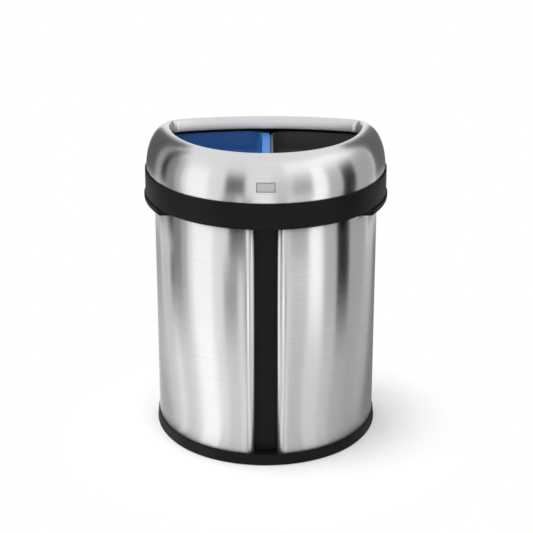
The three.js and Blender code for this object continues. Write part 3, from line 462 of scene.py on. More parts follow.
class Nodes:
    """A short way to write the nodes of a new material, or of a world."""

    def __init__(self, owner):
        if isinstance(owner, str):
            owner = bpy.data.materials.new(owner)
            owner.use_nodes = True
            self.material = owner
        self.tree = owner.node_tree
        self.shader = self.tree.nodes.get("Principled BSDF")
        self.output = next(node for node in self.tree.nodes if node.bl_idname.startswith("ShaderNodeOutput"))

    def add(self, kind, **values):
        node = self.tree.nodes.new(kind)
        for key, value in values.items():
            if hasattr(node, key):
                setattr(node, key, value)
            else:
                node.inputs[key.replace("_", " ").title()].default_value = value
        return node

    def link(self, source, target):
        self.tree.links.new(source, target)

    def noise(self, vector, scale, detail=3.0, roughness=0.5):
        node = self.add("ShaderNodeTexNoise")
        node.inputs["Scale"].default_value = scale
        node.inputs["Detail"].default_value = detail
        node.inputs["Roughness"].default_value = roughness
        self.link(vector, node.inputs["Vector"])
        return node.outputs["Fac"]

    def span(self, value, low, high, start=0.0, end=1.0):
        node = self.add("ShaderNodeMapRange")
        for key, limit in (("From Min", start), ("From Max", end), ("To Min", low), ("To Max", high)):
            node.inputs[key].default_value = limit
        self.link(value, node.inputs["Value"])
        return node.outputs["Result"]

    def stretch(self, vector, scale):
        node = self.add("ShaderNodeMapping")
        node.inputs["Scale"].default_value = scale
        self.link(vector, node.inputs["Vector"])
        return node.outputs["Vector"]

    def mix(self, factor, first, second):
        node = self.add("ShaderNodeMix", data_type="RGBA")
        self.link(factor, node.inputs["Factor"])
        for socket, value in ((node.inputs[6], first), (node.inputs[7], second)):
            if isinstance(value, bpy.types.NodeSocket):
                self.link(value, socket)
            else:
                socket.default_value = (*value, 1.0)
        return node.outputs[2]

    def bump(self, height, strength, distance, normal=None):
        node = self.add("ShaderNodeBump")
        node.inputs["Strength"].default_value = strength
        node.inputs["Distance"].default_value = distance
        self.link(height, node.inputs["Height"])
        if normal:
            self.link(normal, node.inputs["Normal"])
        return node.outputs["Normal"]


def scaled(values, factor):
    return tuple(min(1.0, value * factor) for value in values)


def brushed_steel(name, finish, stretched=0.9):
    """Sheet brushed along its length: long fine lines, and highlights drawn out across them."""
    n = Nodes(name)
    uv = n.add("ShaderNodeUVMap", uv_map=GRAIN_MAP).outputs["UV"]
    hair = n.noise(n.stretch(uv, (5.0, 1500.0, 1.0)), 1.0, 4.0, 0.65)
    streak = n.noise(n.stretch(uv, (2.2, 230.0, 1.0)), 1.0, 3.0, 0.6)
    cloud = n.noise(uv, 3.4, 2.0)
    tone = n.mix(streak, scaled(finish.steel, 0.93), scaled(finish.steel, 1.06))
    n.link(tone, n.shader.inputs["Base Color"])
    rough = n.add("ShaderNodeMath", operation="ADD")
    n.link(n.span(hair, finish.steel_roughness - 0.05, finish.steel_roughness + 0.05), rough.inputs[0])
    n.link(n.span(cloud, -0.02, 0.02), rough.inputs[1])
    n.link(rough.outputs[0], n.shader.inputs["Roughness"])
    streaked = n.bump(streak, finish.grain, 0.08 * MM)
    n.link(n.bump(hair, finish.grain, 0.06 * MM, streaked), n.shader.inputs["Normal"])
    tangent = n.add("ShaderNodeTangent", direction_type="UV_MAP", uv_map=GRAIN_MAP)
    n.link(tangent.outputs[0], n.shader.inputs["Tangent"])
    n.shader.inputs["Metallic"].default_value = 1.0
    n.shader.inputs["Anisotropic"].default_value = stretched
    n.shader.inputs["Anisotropic Rotation"].default_value = 0.25
    return n.material


def moulded(name, colour_value, roughness, texture=1400.0, relief=0.25, specular=0.2):
    """Moulded plastic with a fine spark-eroded texture and faint handling marks."""
    n = Nodes(name)
    spot = n.add("ShaderNodeTexCoord").outputs["Object"]
    fine = n.noise(spot, texture, 2.0)
    marks = n.noise(spot, 9.0, 4.0, 0.6)
    n.link(n.mix(marks, scaled(colour_value, 0.9), scaled(colour_value, 1.12)), n.shader.inputs["Base Color"])
    n.link(n.span(marks, roughness - 0.06, roughness + 0.06), n.shader.inputs["Roughness"])
    n.link(n.bump(fine, relief, 0.2 * MM), n.shader.inputs["Normal"])
    n.shader.inputs["Specular IOR Level"].default_value = specular
    return n.material


def zinc_plate(name, colour_value):
    """Bright zinc, with the faint cloudiness of plating."""
    n = Nodes(name)
    spot = n.add("ShaderNodeTexCoord").outputs["Object"]
    cloud = n.noise(spot, 220.0, 3.0)
    n.link(n.mix(cloud, scaled(colour_value, 0.88), scaled(colour_value, 1.1)), n.shader.inputs["Base Color"])
    n.link(n.span(cloud, 0.28, 0.42), n.shader.inputs["Roughness"])
    n.link(n.bump(n.noise(spot, 900.0, 2.0), 0.15, 0.1 * MM), n.shader.inputs["Normal"])
    n.shader.inputs["Metallic"].default_value = 1.0
    return n.material


def badge_face(name, finish, edge=False):
    """Fine satin metal, darker on the border."""
    n = Nodes(name)
    uv = n.add("ShaderNodeUVMap", uv_map=GRAIN_MAP).outputs["UV"]
    hair = n.noise(n.stretch(uv, (60.0, 2600.0, 1.0)), 1.0, 3.0, 0.6)
    tone = finish.badge_edge if edge else finish.badge
    n.link(n.mix(hair, scaled(tone, 0.92), scaled(tone, 1.08)), n.shader.inputs["Base Color"])
    n.link(n.span(hair, 0.38, 0.5), n.shader.inputs["Roughness"])
    n.link(n.bump(hair, 0.2, 0.05 * MM), n.shader.inputs["Normal"])
    n.shader.inputs["Metallic"].default_value = 0.6
    return n.material


def finish_for(slot, finish):
    """The material of a slot, made once."""
    name = f"{slot}_finish"
    known = bpy.data.materials.get(name)
    if known:
        return known
    if slot in ("panel_steel", "ring_steel"):
        return brushed_steel(name, finish)
    if slot in ("hinge_steel", "screw_steel"):
        return zinc_plate(name, finish.zinc)
    if slot == "badge_metal":
        return badge_face(name, finish)
    if slot == "blue_plastic":
        return moulded(name, finish.bucket_blue, 0.45, 1100.0, 0.12, 0.35)
    if slot == "black_plastic":
        return moulded(name, finish.bucket_black, 0.42, 1100.0, 0.12, 0.35)
    if slot == "foot_rubber":
        return moulded(name, finish.rubber, 0.85, 700.0, 0.3, 0.3)
    return moulded(name, finish.black, finish.black_roughness, specular=0.13)


# ---- Operators ----

class Maker:
    """What the piece operators share. PAST is how far a cutter or a joined block runs past a face."""

    bl_options = {"REGISTER", "UNDO"}

    PAST = 1 * MM
    FRAME_THICKNESS, LIP_HEIGHT = mm(3, 12)
    GRIP_HANG, GRIP_FLANGE = mm(15.5, 3)
    BRACKET_PLATE, LEAF_PLATE = mm(2.8, 2.5)
    BUCKET_GAP, BLACK_RIM = mm(0.8, 3)
    OPENED = math.radians(80)
    SIDE_FOOT, BACK_FOOT = math.radians(62), math.radians(142)

    def setup(self, context):
        scene = context.scene
        self.plan, self.body, self.lid = scene.bin_plan, scene.bin_body, scene.bin_lid
        self.buckets, self.finish = scene.bin_buckets, scene.bin_finish
        self.outline = Outline(self.plan)
        self.seat = self.plan.seat
        self.panel_bottom = self.body.base_top + self.seat
        self.panel_top = self.panel_bottom + self.body.height
        self.frame_bottom = self.panel_top + self.seat
        self.frame_top = self.frame_bottom + self.FRAME_THICKNESS
        self.lip_bottom = self.panel_top - self.LIP_HEIGHT
        self.floor_top = self.body.base_floor + self.body.floor_thickness
        self.collar_top = self.lid.collar_bottom + self.lid.collar_height
        self.hinge_y = self.outline.back_y - self.lid.hinge_setback
        self.hinge_z = self.lid.collar_bottom

    def make(self, name, mesh, slot, crease=35):
        return new_object(name, mesh, finish_for(slot, self.finish), crease)

    def execute(self, context):
        self.setup(context)
        self.build()
        return {"FINISHED"}

    def roll_centre(self):
        """Middle of the right panel's rolled edge, and the facing angle there."""
        x = self.body.strip_shows / 2 + self.body.roll
        reach = self.outline.front_radius - self.body.inset - self.body.roll
        facing = math.asin(x / reach)
        y = self.outline.front_y + self.outline.front_radius - reach * math.cos(facing)
        return x, y, facing

    def foot_places(self):
        """Where the five feet are, by name."""
        spots = {"front": 0.0}
        for side, sign in SIDES:
            spots[side] = sign * self.SIDE_FOOT
            spots[f"back_{side}"] = sign * self.BACK_FOOT
        return {name: self.outline.point(facing, self.body.foot_inset) for name, facing in spots.items()}

    def dome_line(self, steps=44, mouth_steps=18):
        """Insets and heights over the dome and down to the mouth."""
        lid = self.lid
        bottom, bend = self.collar_top + lid.ring_rise, 2 / lid.dome_fullness
        top, mouth_bend = bottom + lid.crest_height, 2 / lid.mouth_fullness
        line = []
        for i in range(steps + 1):
            t = math.pi / 2 * i / steps
            inward = lid.crest_inset * (1 - max(math.cos(t), 0) ** bend)
            line.append(Vector((lid.ring_inset + inward, bottom + lid.crest_height * math.sin(t) ** bend)))
        for i in range(1, mouth_steps + 1):
            t = math.pi / 2 * i / mouth_steps
            inward = lid.mouth_inset * math.sin(t) ** mouth_bend
            drop = lid.mouth_drop * (1 - max(math.cos(t), 0) ** mouth_bend)
            line.append(Vector((lid.ring_inset + lid.crest_inset + inward, top - drop)))
        return line


def thickened(line, thickness):
    """A line moved sideways by a wall's thickness."""
    moved = []
    for i, point in enumerate(line):
        along = (line[min(i + 1, len(line) - 1)] - line[max(i - 1, 0)]).normalized()
        moved.append(Vector((point.x + along.y * thickness, point.y - along.x * thickness)))
    return moved


class BIN_OT_lid_ring(Maker, bpy.types.Operator):
    """Make the domed steel ring with its mouth and its hem"""

    bl_idname = "bin.lid_ring"
    bl_label = "Lid ring"

    HEM_DEPTH, HEM_ROLL = mm(7, 1.4)

    def build(self):
        lid, steel = self.lid, self.body.steel
        outer = self.dome_line()
        inner = thickened(outer, steel)
        inner[0] = Vector((outer[0].x + steel, outer[0].y))
        inner[-1].y = outer[-1].y
        hem = lid.shelf_bottom + lid.collar_wall + self.seat
        hem_inner = lid.ring_inset + steel + self.HEM_DEPTH
        foot = rounded([(hem_inner, hem), (lid.ring_inset, hem), tuple(outer[0])], [0, self.HEM_ROLL, 0])
        section = foot[:-1] + outer + inner[::-1]
        section += [Vector((lid.ring_inset + steel, hem + steel)), Vector((hem_inner, hem + steel))]
        skin_of_ring = sweep(self.outline, section, self.outline.all_round(), True)
        ring = self.make("lid_ring_steel", skin_of_ring, "ring_steel", 50)
        dress(ring, "lid", "ring_steel", "lid_ring")


class BIN_OT_mouth_bead(Maker, bpy.types.Operator):
    """Make the bead that covers the mouth's edge"""

    bl_idname = "bin.mouth_bead"
    bl_label = "Mouth bead"

    WALL, REAR_LEG, FRONT_LEG = mm(1.6, 3.6, 2.16)

    def build(self):
        lid, seat, steel, wall = self.lid, self.seat, self.body.steel, self.WALL
        edge = lid.ring_inset + lid.crest_inset + lid.mouth_inset
        top = self.collar_top + lid.ring_rise + lid.crest_height - lid.mouth_drop
        bottom = top - seat - wall
        near, far = edge + seat, edge - steel - seat
        rear, front = bottom + self.REAR_LEG, bottom + self.FRONT_LEG
        points = [
            (far - wall, bottom), (far - wall, rear), (far, rear), (far, bottom + wall),
            (near, bottom + wall), (near, front), (near + wall, front), (near + wall, bottom),
        ]
        section = rounded(points, mm(0.8, 0.5, 0.3, 0, 0, 0.3, 0.7, 0.8), 3)
        trim = sweep(self.outline, section, self.outline.all_round(), True)
        bead = self.make("mouth_bead_trim", trim, "bead_plastic")
        dress(bead, "lid", "bead_plastic", "mouth_bead")


class BIN_OT_badge(Maker, bpy.types.Operator):
    """Make the bare badge, a pale field in a darker border"""

    bl_idname = "bin.badge"
    bl_label = "Badge"

    LIFT, THICKNESS, BORDER, SUNK, FIELD = mm(0.48, 1.3, 1.7, 0.35, 0.12)
    OPENING, EDGE = mm(2, 0.28)
    STEPS = 8

    def build(self):
        lid, border = self.lid, self.BORDER
        bottom = self.collar_top + lid.badge_rise
        dome_bottom = self.collar_top + lid.ring_rise
        back, face = self.LIFT, self.LIFT + self.THICKNESS

        def line(z0, z1, offset):
            points = []
            for i in range(self.STEPS + 1):
                z = z0 + (z1 - z0) * i / self.STEPS
                t = math.asin(((z - dome_bottom) / lid.crest_height) ** (lid.dome_fullness / 2))
                inward = lid.crest_inset * (1 - math.cos(t) ** (2 / lid.dome_fullness))
                points.append(Vector((lid.ring_inset + inward, z)))
            return thickened(points, -offset)

        def plate(z0, z1, half, low, high):
            reach = math.asin(half / self.outline.front_radius)
            facings = [reach * (i / self.STEPS - 1) for i in range(2 * self.STEPS + 1)]
            return sweep(self.outline, line(z0, z1, low) + line(z0, z1, high)[::-1], facings)

        half, top = lid.badge_width / 2, bottom + lid.badge_height
        rim = self.make("badge_border", plate(bottom, top, half, back, face), "badge_metal")
        rim.data.materials.clear()
        rim.data.materials.append(badge_face("badge_border_metal", self.finish, True))
        inside = (bottom + border, top - border, half - border, face - self.SUNK)
        combine(rim, [plate(*inside, face + self.OPENING)], "DIFFERENCE")
        shape = rounded([(-half, bottom), (half, bottom), (half, top), (-half, top)], lid.badge_corner, 6)
        front = self.outline.front_y
        combine(rim, [lengthwise(shape, front - lid.crest_inset, front + lid.crest_inset)], "INTERSECT")
        bevel(rim, self.EDGE, 2, 50)
        field = self.make("badge_field", plate(*inside, face - self.SUNK + self.FIELD), "badge_metal")
        for piece in (rim, field):
            dress(piece, "lid", "badge_metal", "badge_plate")


class BIN_OT_collar(Maker, bpy.types.Operator):
    """Make the black collar with its shelf and the notches for the hinges"""

    bl_idname = "bin.collar"
    bl_label = "Collar"

    NOTCH_HALF, NOTCH_FRONT, NOTCH_BACK, NOTCH_RISE = mm(15.4, 15, 5, 9.5)

    def build(self):
        lid, wall = self.lid, self.lid.collar_wall
        shelf, shelf_top = lid.shelf_bottom, lid.shelf_bottom + wall
        points = [
            (0, lid.collar_bottom), (0, self.collar_top), (wall, self.collar_top), (wall, shelf_top),
            (lid.shelf_inset, shelf_top), (lid.shelf_inset, shelf), (wall, shelf), (wall, lid.collar_bottom),
        ]
        section = rounded(points, mm(1.2, 1.2, 0.6, 0.5, 0.6, 0.6, 0.8, 0.6))
        band = sweep(self.outline, section, self.outline.all_round(), True)
        collar = self.make("collar_band", band, "collar_plastic")
        half, low, high = self.NOTCH_HALF, lid.collar_bottom - self.PAST, self.hinge_z + self.NOTCH_RISE
        y0, y1 = self.hinge_y - self.NOTCH_FRONT, self.outline.back_y + self.NOTCH_BACK
        notches = []
        for _, sign in SIDES:
            x = sign * lid.hinge_spread
            notches.append(block(x - half, x + half, y0, y1, low, high))
        combine(collar, notches, "DIFFERENCE")
        dress(collar, "lid", "collar_plastic", "lid_collar")


class BIN_OT_panels(Maker, bpy.types.Operator):
    """Make the two steel panels with their rolled front edges"""

    bl_idname = "bin.panels"
    bl_label = "Body panels"

    EDGE, EDGE_SHARE, ROLL_STEPS = 0.35 * MM, 0.35, 28

    def build(self):
        body = self.body
        x0, y0, facing = self.roll_centre()
        end = self.outline.back_angle(body.back_seam, body.inset)
        facings = self.outline.angles(facing, end)
        for side, sign in SIDES:
            rows = []
            for inset in (body.inset, body.inset + body.steel):
                radius = body.roll - (inset - body.inset)
                path = []
                for i in range(self.ROLL_STEPS, 0, -1):
                    turn = facing - (facing + math.pi / 2) * i / self.ROLL_STEPS
                    path.append(Vector((x0 + radius * math.sin(turn), y0 - radius * math.cos(turn))))
                path += [self.outline.point(a, inset) for a in facings]
                rows.append(path)
            low, high = self.panel_bottom, self.panel_top
            loops = []
            for outer, inner in zip(*rows):
                soft = outer.lerp(inner, self.EDGE_SHARE)
                loop = [
                    (outer, low + self.EDGE), (outer, high - self.EDGE), (soft, high),
                    (inner, high), (inner, low), (soft, low),
                ]
                loops.append([(p.x * sign, p.y, z) for p, z in loop])
            panel = self.make(f"body_panel_{side}", skin(loops), "panel_steel", 50)
            dress(panel, "body", "panel_steel", f"panel_{side}")


class BIN_OT_strips(Maker, bpy.types.Operator):
    """Make the black strips in front of and behind the panels' joints"""

    bl_idname = "bin.strips"
    bl_label = "Strips"

    WALL, FLANGE, SET_BACK, COVER = mm(2.5, 9, 0.5, 2)

    def build(self):
        self.front()
        self.back()

    def front(self):
        """The channel behind the panels' rolled edges."""
        body, wall = self.body, self.WALL
        _, centre_y, _ = self.roll_centre()
        half = body.strip_shows / 2 + body.strip_tuck
        y0 = centre_y + self.SET_BACK
        y1, y2 = y0 + wall, y0 + wall + self.FLANGE
        inside = half - wall
        points = [
            (-half, y0), (half, y0), (half, y2), (inside, y2),
            (inside, y1), (-inside, y1), (-inside, y2), (-half, y2),
        ]
        section = rounded(points, mm(0.8, 0.8, 0.5, 0.5, 0.5, 0.5, 0.5, 0.5))
        channel = raised(section, self.panel_bottom, self.panel_top)
        strip = self.make("front_strip_channel", channel, "strip_plastic")
        dress(strip, "body", "strip_plastic", "front_strip")

    def back(self):
        """The cover over the back seam, with a web in the seam and a plate inside."""
        body, seat, past = self.body, self.seat, self.PAST
        half, cover = body.back_cover / 2, self.COVER
        face = self.outline.back_y - body.inset + seat
        inset = body.inset + body.steel
        inner = self.outline.point(self.outline.back_angle(half, inset), inset).y - seat
        top = self.lip_bottom - seat
        web = body.back_seam - seat
        upstand_top = body.base_top + body.upstand
        upstand_outer = inset + seat
        points = [(-half, face), (half, face), (half, face + cover), (-half, face + cover)]
        plate = raised(rounded(points, mm(0.2, 0.2, 1, 1)), self.panel_bottom, top)
        strip = self.make("back_strip_cover", plate, "strip_plastic")
        combine(strip, [
            block(-web, web, inner - past, face + past, self.panel_bottom, top),
            block(-half, half, inner - cover, inner, upstand_top + seat, top),
        ], "UNION")
        low, high = self.panel_bottom - past, upstand_top + seat
        y0, y1 = inner - 2 * cover, self.outline.back_y - upstand_outer + seat
        combine(strip, [block(-half - past, half + past, y0, y1, low, high)], "DIFFERENCE")
        dress(strip, "body", "strip_plastic", "back_strip")


class BIN_OT_base(Maker, bpy.types.Operator):
    """Make the base: rim, floor, upstand and ribs"""

    bl_idname = "bin.base"
    bl_label = "Base"

    RIM_FOOT, COVE_WIDTH, COVE_DROP = mm(1.5, 6, 2)
    UPSTAND_WALL, UPSTAND_DRAFT, UPSTAND_ROOT = mm(2.7, 0.4, 1)
    SILL_MARGIN, SILL_DEPTH, SILL_BOTTOM = mm(2, 15, 0.5)
    BOSS_MARGIN, BOSS_HEIGHT, BOSS_BOTTOM = mm(2, 4, 5)
    RIB, RIB_HEIGHT, RIB_GAP, RIB_FRONT, RIB_BACK, RIB_LAP = mm(2.6, 18, 3, 90, 70, 0.5)
    UNDER_SPACING, UNDER_MARGIN, UNDER_FRONT, UNDER_FRONT_SIDE, UNDER_BACK = mm(117.6, 4, 2, 44, 8)
    CROSS_FRONT, CROSS_END = mm(92.1, 61.6)
    FIN_ANGLES = (24, 50, 76, 104, 168)

    def build(self):
        body, outline, seat = self.body, self.outline, self.seat
        inset, wall, top = body.base_inset, body.rim_wall, body.base_top
        upstand = body.inset + body.steel + seat
        inner, high = upstand + self.UPSTAND_WALL, top + body.upstand
        levels = [
            (inset + wall + self.COVE_WIDTH, body.base_floor),
            (inset + wall, body.base_floor - self.COVE_DROP),
            (inset + wall, self.RIM_FOOT),
            (inset, self.RIM_FOOT),
            (inset + body.base_lean / 2, top / 2),
            (inset + body.base_lean, top),
            (upstand, top),
            (upstand + self.UPSTAND_DRAFT, high),
            (inner, high),
            (inner + self.UPSTAND_ROOT, self.floor_top),
        ]
        section = rounded(levels, mm(0, 1, 0.8, 2.6, 6, 1.6, 0.3, 0.7, 0.7, 0))
        facings = outline.all_round()
        loops = []
        for level, z in section:
            loops.append([(*outline.point(a, level), z) for a in facings])
        tray = self.make("base_rim", skin(loops), "base_plastic")
        x0, y0, _ = self.roll_centre()
        sill_half, sill_back = x0 + self.SILL_MARGIN, y0 + self.SILL_DEPTH
        sill_front, sill_bottom = outline.front_y + upstand - self.PAST, body.base_floor + self.SILL_BOTTOM
        parts = [block(-sill_half, sill_half, sill_front, sill_back, sill_bottom, top)]
        boss = body.foot_radius + self.BOSS_MARGIN
        boss_profile = [(0, 0), (boss, 0), (boss, self.BOSS_HEIGHT), (0, self.BOSS_HEIGHT)]
        for at in self.foot_places().values():
            parts.append(turned(boss_profile, (at.x, at.y, self.BOSS_BOTTOM), (0, 0, 1)))
        parts += self.ribs(inner)
        combine(tray, parts, "UNION")
        recess = block(-sill_half, sill_half, outline.front_y, sill_back, top, high + self.PAST)
        combine(tray, [recess], "DIFFERENCE")
        dress(tray, "body", "base_plastic", "base_tray")

    def ribs(self, upstand_inner):
        """Ribs under the floor, and those on it that keep the buckets in place."""
        outline, body, buckets, thick = self.outline, self.body, self.buckets, self.RIB
        reach = body.base_inset + body.rim_wall + self.UNDER_MARGIN
        under_top = body.base_floor + self.PAST
        found = []
        for i in (-1, 0, 1):
            x = i * self.UNDER_SPACING
            y0 = outline.front_y + reach + (self.UNDER_FRONT_SIDE if i else self.UNDER_FRONT)
            y1 = outline.back_y - reach - self.UNDER_BACK
            found.append(block(x - thick / 2, x + thick / 2, y0, y1, body.foot_height, under_top))
        y, x = outline.widest_y - self.CROSS_FRONT, outline.half - self.CROSS_END
        found.append(block(-x, x, y, y + thick, body.foot_height, under_top))
        slope = (buckets.rim_top - self.floor_top - self.seat) * math.tan(buckets.draft)
        blue = buckets.blue_inner + buckets.wall - slope
        black = buckets.blue_edge + self.BUCKET_GAP + self.BLACK_RIM + slope
        low, high = self.floor_top - self.PAST, self.floor_top + self.RIB_HEIGHT
        for x in (blue + self.RIB_GAP, black - self.RIB_GAP - thick):
            y0, y1 = outline.front_y + self.RIB_FRONT, outline.back_y - self.RIB_BACK
            found.append(block(x, x + thick, y0, y1, low, high))
        depth = buckets.rim_inset + buckets.rim_width + slope - self.RIB_GAP
        for _, sign in SIDES:
            for degrees in self.FIN_ANGLES:
                facing = sign * math.radians(degrees)
                outward = Vector((math.sin(facing), -math.cos(facing)))
                side = Vector((-outward.y, outward.x)) * (thick / 2)
                outer = outline.point(facing, upstand_inner - self.RIB_LAP)
                inner = outline.point(facing, depth)
                corners = [outer + side, outer - side, inner - side, inner + side]
                found.append(raised([tuple(c) for c in corners], low, high))
        return found


class BIN_OT_top_frame(Maker, bpy.types.Operator):
    """Make the frame that caps the panels and carries the lid"""

    bl_idname = "bin.top_frame"
    bl_label = "Top frame"

    OUTER_INSET, SKIRT_OUTER, SKIRT_INNER, SKIRT_HEIGHT, LIP = mm(8, 40, 43, 22, 2)
    BAR_HALF, BAR_HEIGHT, BAR_END = mm(4, 16, 42)
    RECESS_MARGIN, RECESS_DEPTH = mm(3, 70)

    def build(self):
        body, seat, outline = self.body, self.seat, self.outline
        cap_out, cap_in = body.inset - seat, body.inset + body.steel + seat
        low, top, lip = self.frame_bottom, self.frame_top, self.lip_bottom
        skirt = top - self.SKIRT_HEIGHT
        points = [
            (self.OUTER_INSET, low), (self.OUTER_INSET, top),
            (self.SKIRT_INNER, top), (self.SKIRT_INNER, skirt),
            (self.SKIRT_OUTER, skirt), (self.SKIRT_OUTER, low),
            (cap_in + self.LIP, low), (cap_in + self.LIP, lip), (cap_in, lip), (cap_in, low),
            (cap_out, low), (cap_out, lip), (cap_out - self.LIP, lip), (cap_out - self.LIP, low),
        ]
        section = rounded(points, mm(0.6, 1, 1.5, 0.6, 0.6, 1, 0.8, 0.6, 0.6, 0, 0, 0.6, 0.6, 0.8), 3)
        frame_sweep = sweep(outline, section, outline.all_round(), True)
        ring = self.make("top_frame_ring", frame_sweep, "frame_plastic")
        y0, y1 = outline.front_y + self.BAR_END, outline.back_y - self.BAR_END
        bar = block(-self.BAR_HALF, self.BAR_HALF, y0, y1, top - self.BAR_HEIGHT, top)
        combine(ring, [bar], "UNION")
        side = self.roll_centre()[0] + self.RECESS_MARGIN
        recess_back = outline.front_y + self.RECESS_DEPTH
        recess = block(-side, side, outline.front_y, recess_back, skirt - self.PAST, low)
        combine(ring, [recess], "DIFFERENCE")
        dress(ring, "body", "frame_plastic", "top_frame")


class BIN_OT_grips(Maker, bpy.types.Operator):
    """Make the side grips, open below for the fingers"""

    bl_idname = "bin.grips"
    bl_label = "Side grips"

    COLLAR_GAP, LIP_INSET, LIP_RISE, POCKET_INSET, POCKET_SLANT, POCKET_RISE = mm(1.2, 1.6, 5, 3.5, 1, 4)
    POCKET_ROUND, EDGE = mm(0.8, 0.7)
    STEPS = 40

    def build(self):
        buckets, body, lid, outline = self.buckets, self.body, self.lid, self.outline
        proud, wall, seat = buckets.grip_proud, self.GRIP_FLANGE, self.seat
        inside, top = lid.collar_wall + self.COLLAR_GAP, self.lip_bottom - seat
        under, flange = lid.collar_bottom - seat, body.inset - seat
        bottom = under - self.GRIP_HANG
        shell = [
            (-proud, under), (inside, under), (inside, top), (flange, top), (flange, bottom),
            (self.LIP_INSET, bottom), (-proud, bottom + self.LIP_RISE),
        ]
        section = rounded(shell, mm(1.6, 0.3, 0.8, 0.5, 0.5, 1.5, 3.4))
        pocket = [
            (wall - proud, under - wall), (inside + wall, under - wall), (inside + wall, top - wall),
            (flange - wall, top - wall), (flange - wall, bottom - self.PAST),
            (self.POCKET_INSET, bottom - self.PAST), (self.POCKET_INSET, bottom),
            (wall - proud + self.POCKET_SLANT, bottom + self.POCKET_RISE),
        ]
        y0, y1 = outline.widest_y - buckets.grip_front, outline.widest_y + buckets.grip_back
        for side, sign in SIDES:
            grip = self.make(f"grip_{side}_shell", self.along(section, y0, y1, sign), "grip_plastic")
            hollow = self.along(rounded(pocket, self.POCKET_ROUND, 3), y0 + wall, y1 - wall, sign)
            combine(grip, [hollow], "DIFFERENCE")
            bevel(grip, self.EDGE, 3, 55)
            dress(grip, "body", "grip_plastic", f"grip_{side}")

    def along(self, section, y0, y1, sign):
        """A section along the bin's side, its two ends square to the bin's depth."""
        rows = []
        for i in range(self.STEPS + 1):
            y = y0 + (y1 - y0) * i / self.STEPS
            rows.append([(sign * self.outline.side_x(y, inset), y, z) for inset, z in section])
        return skin(rows)


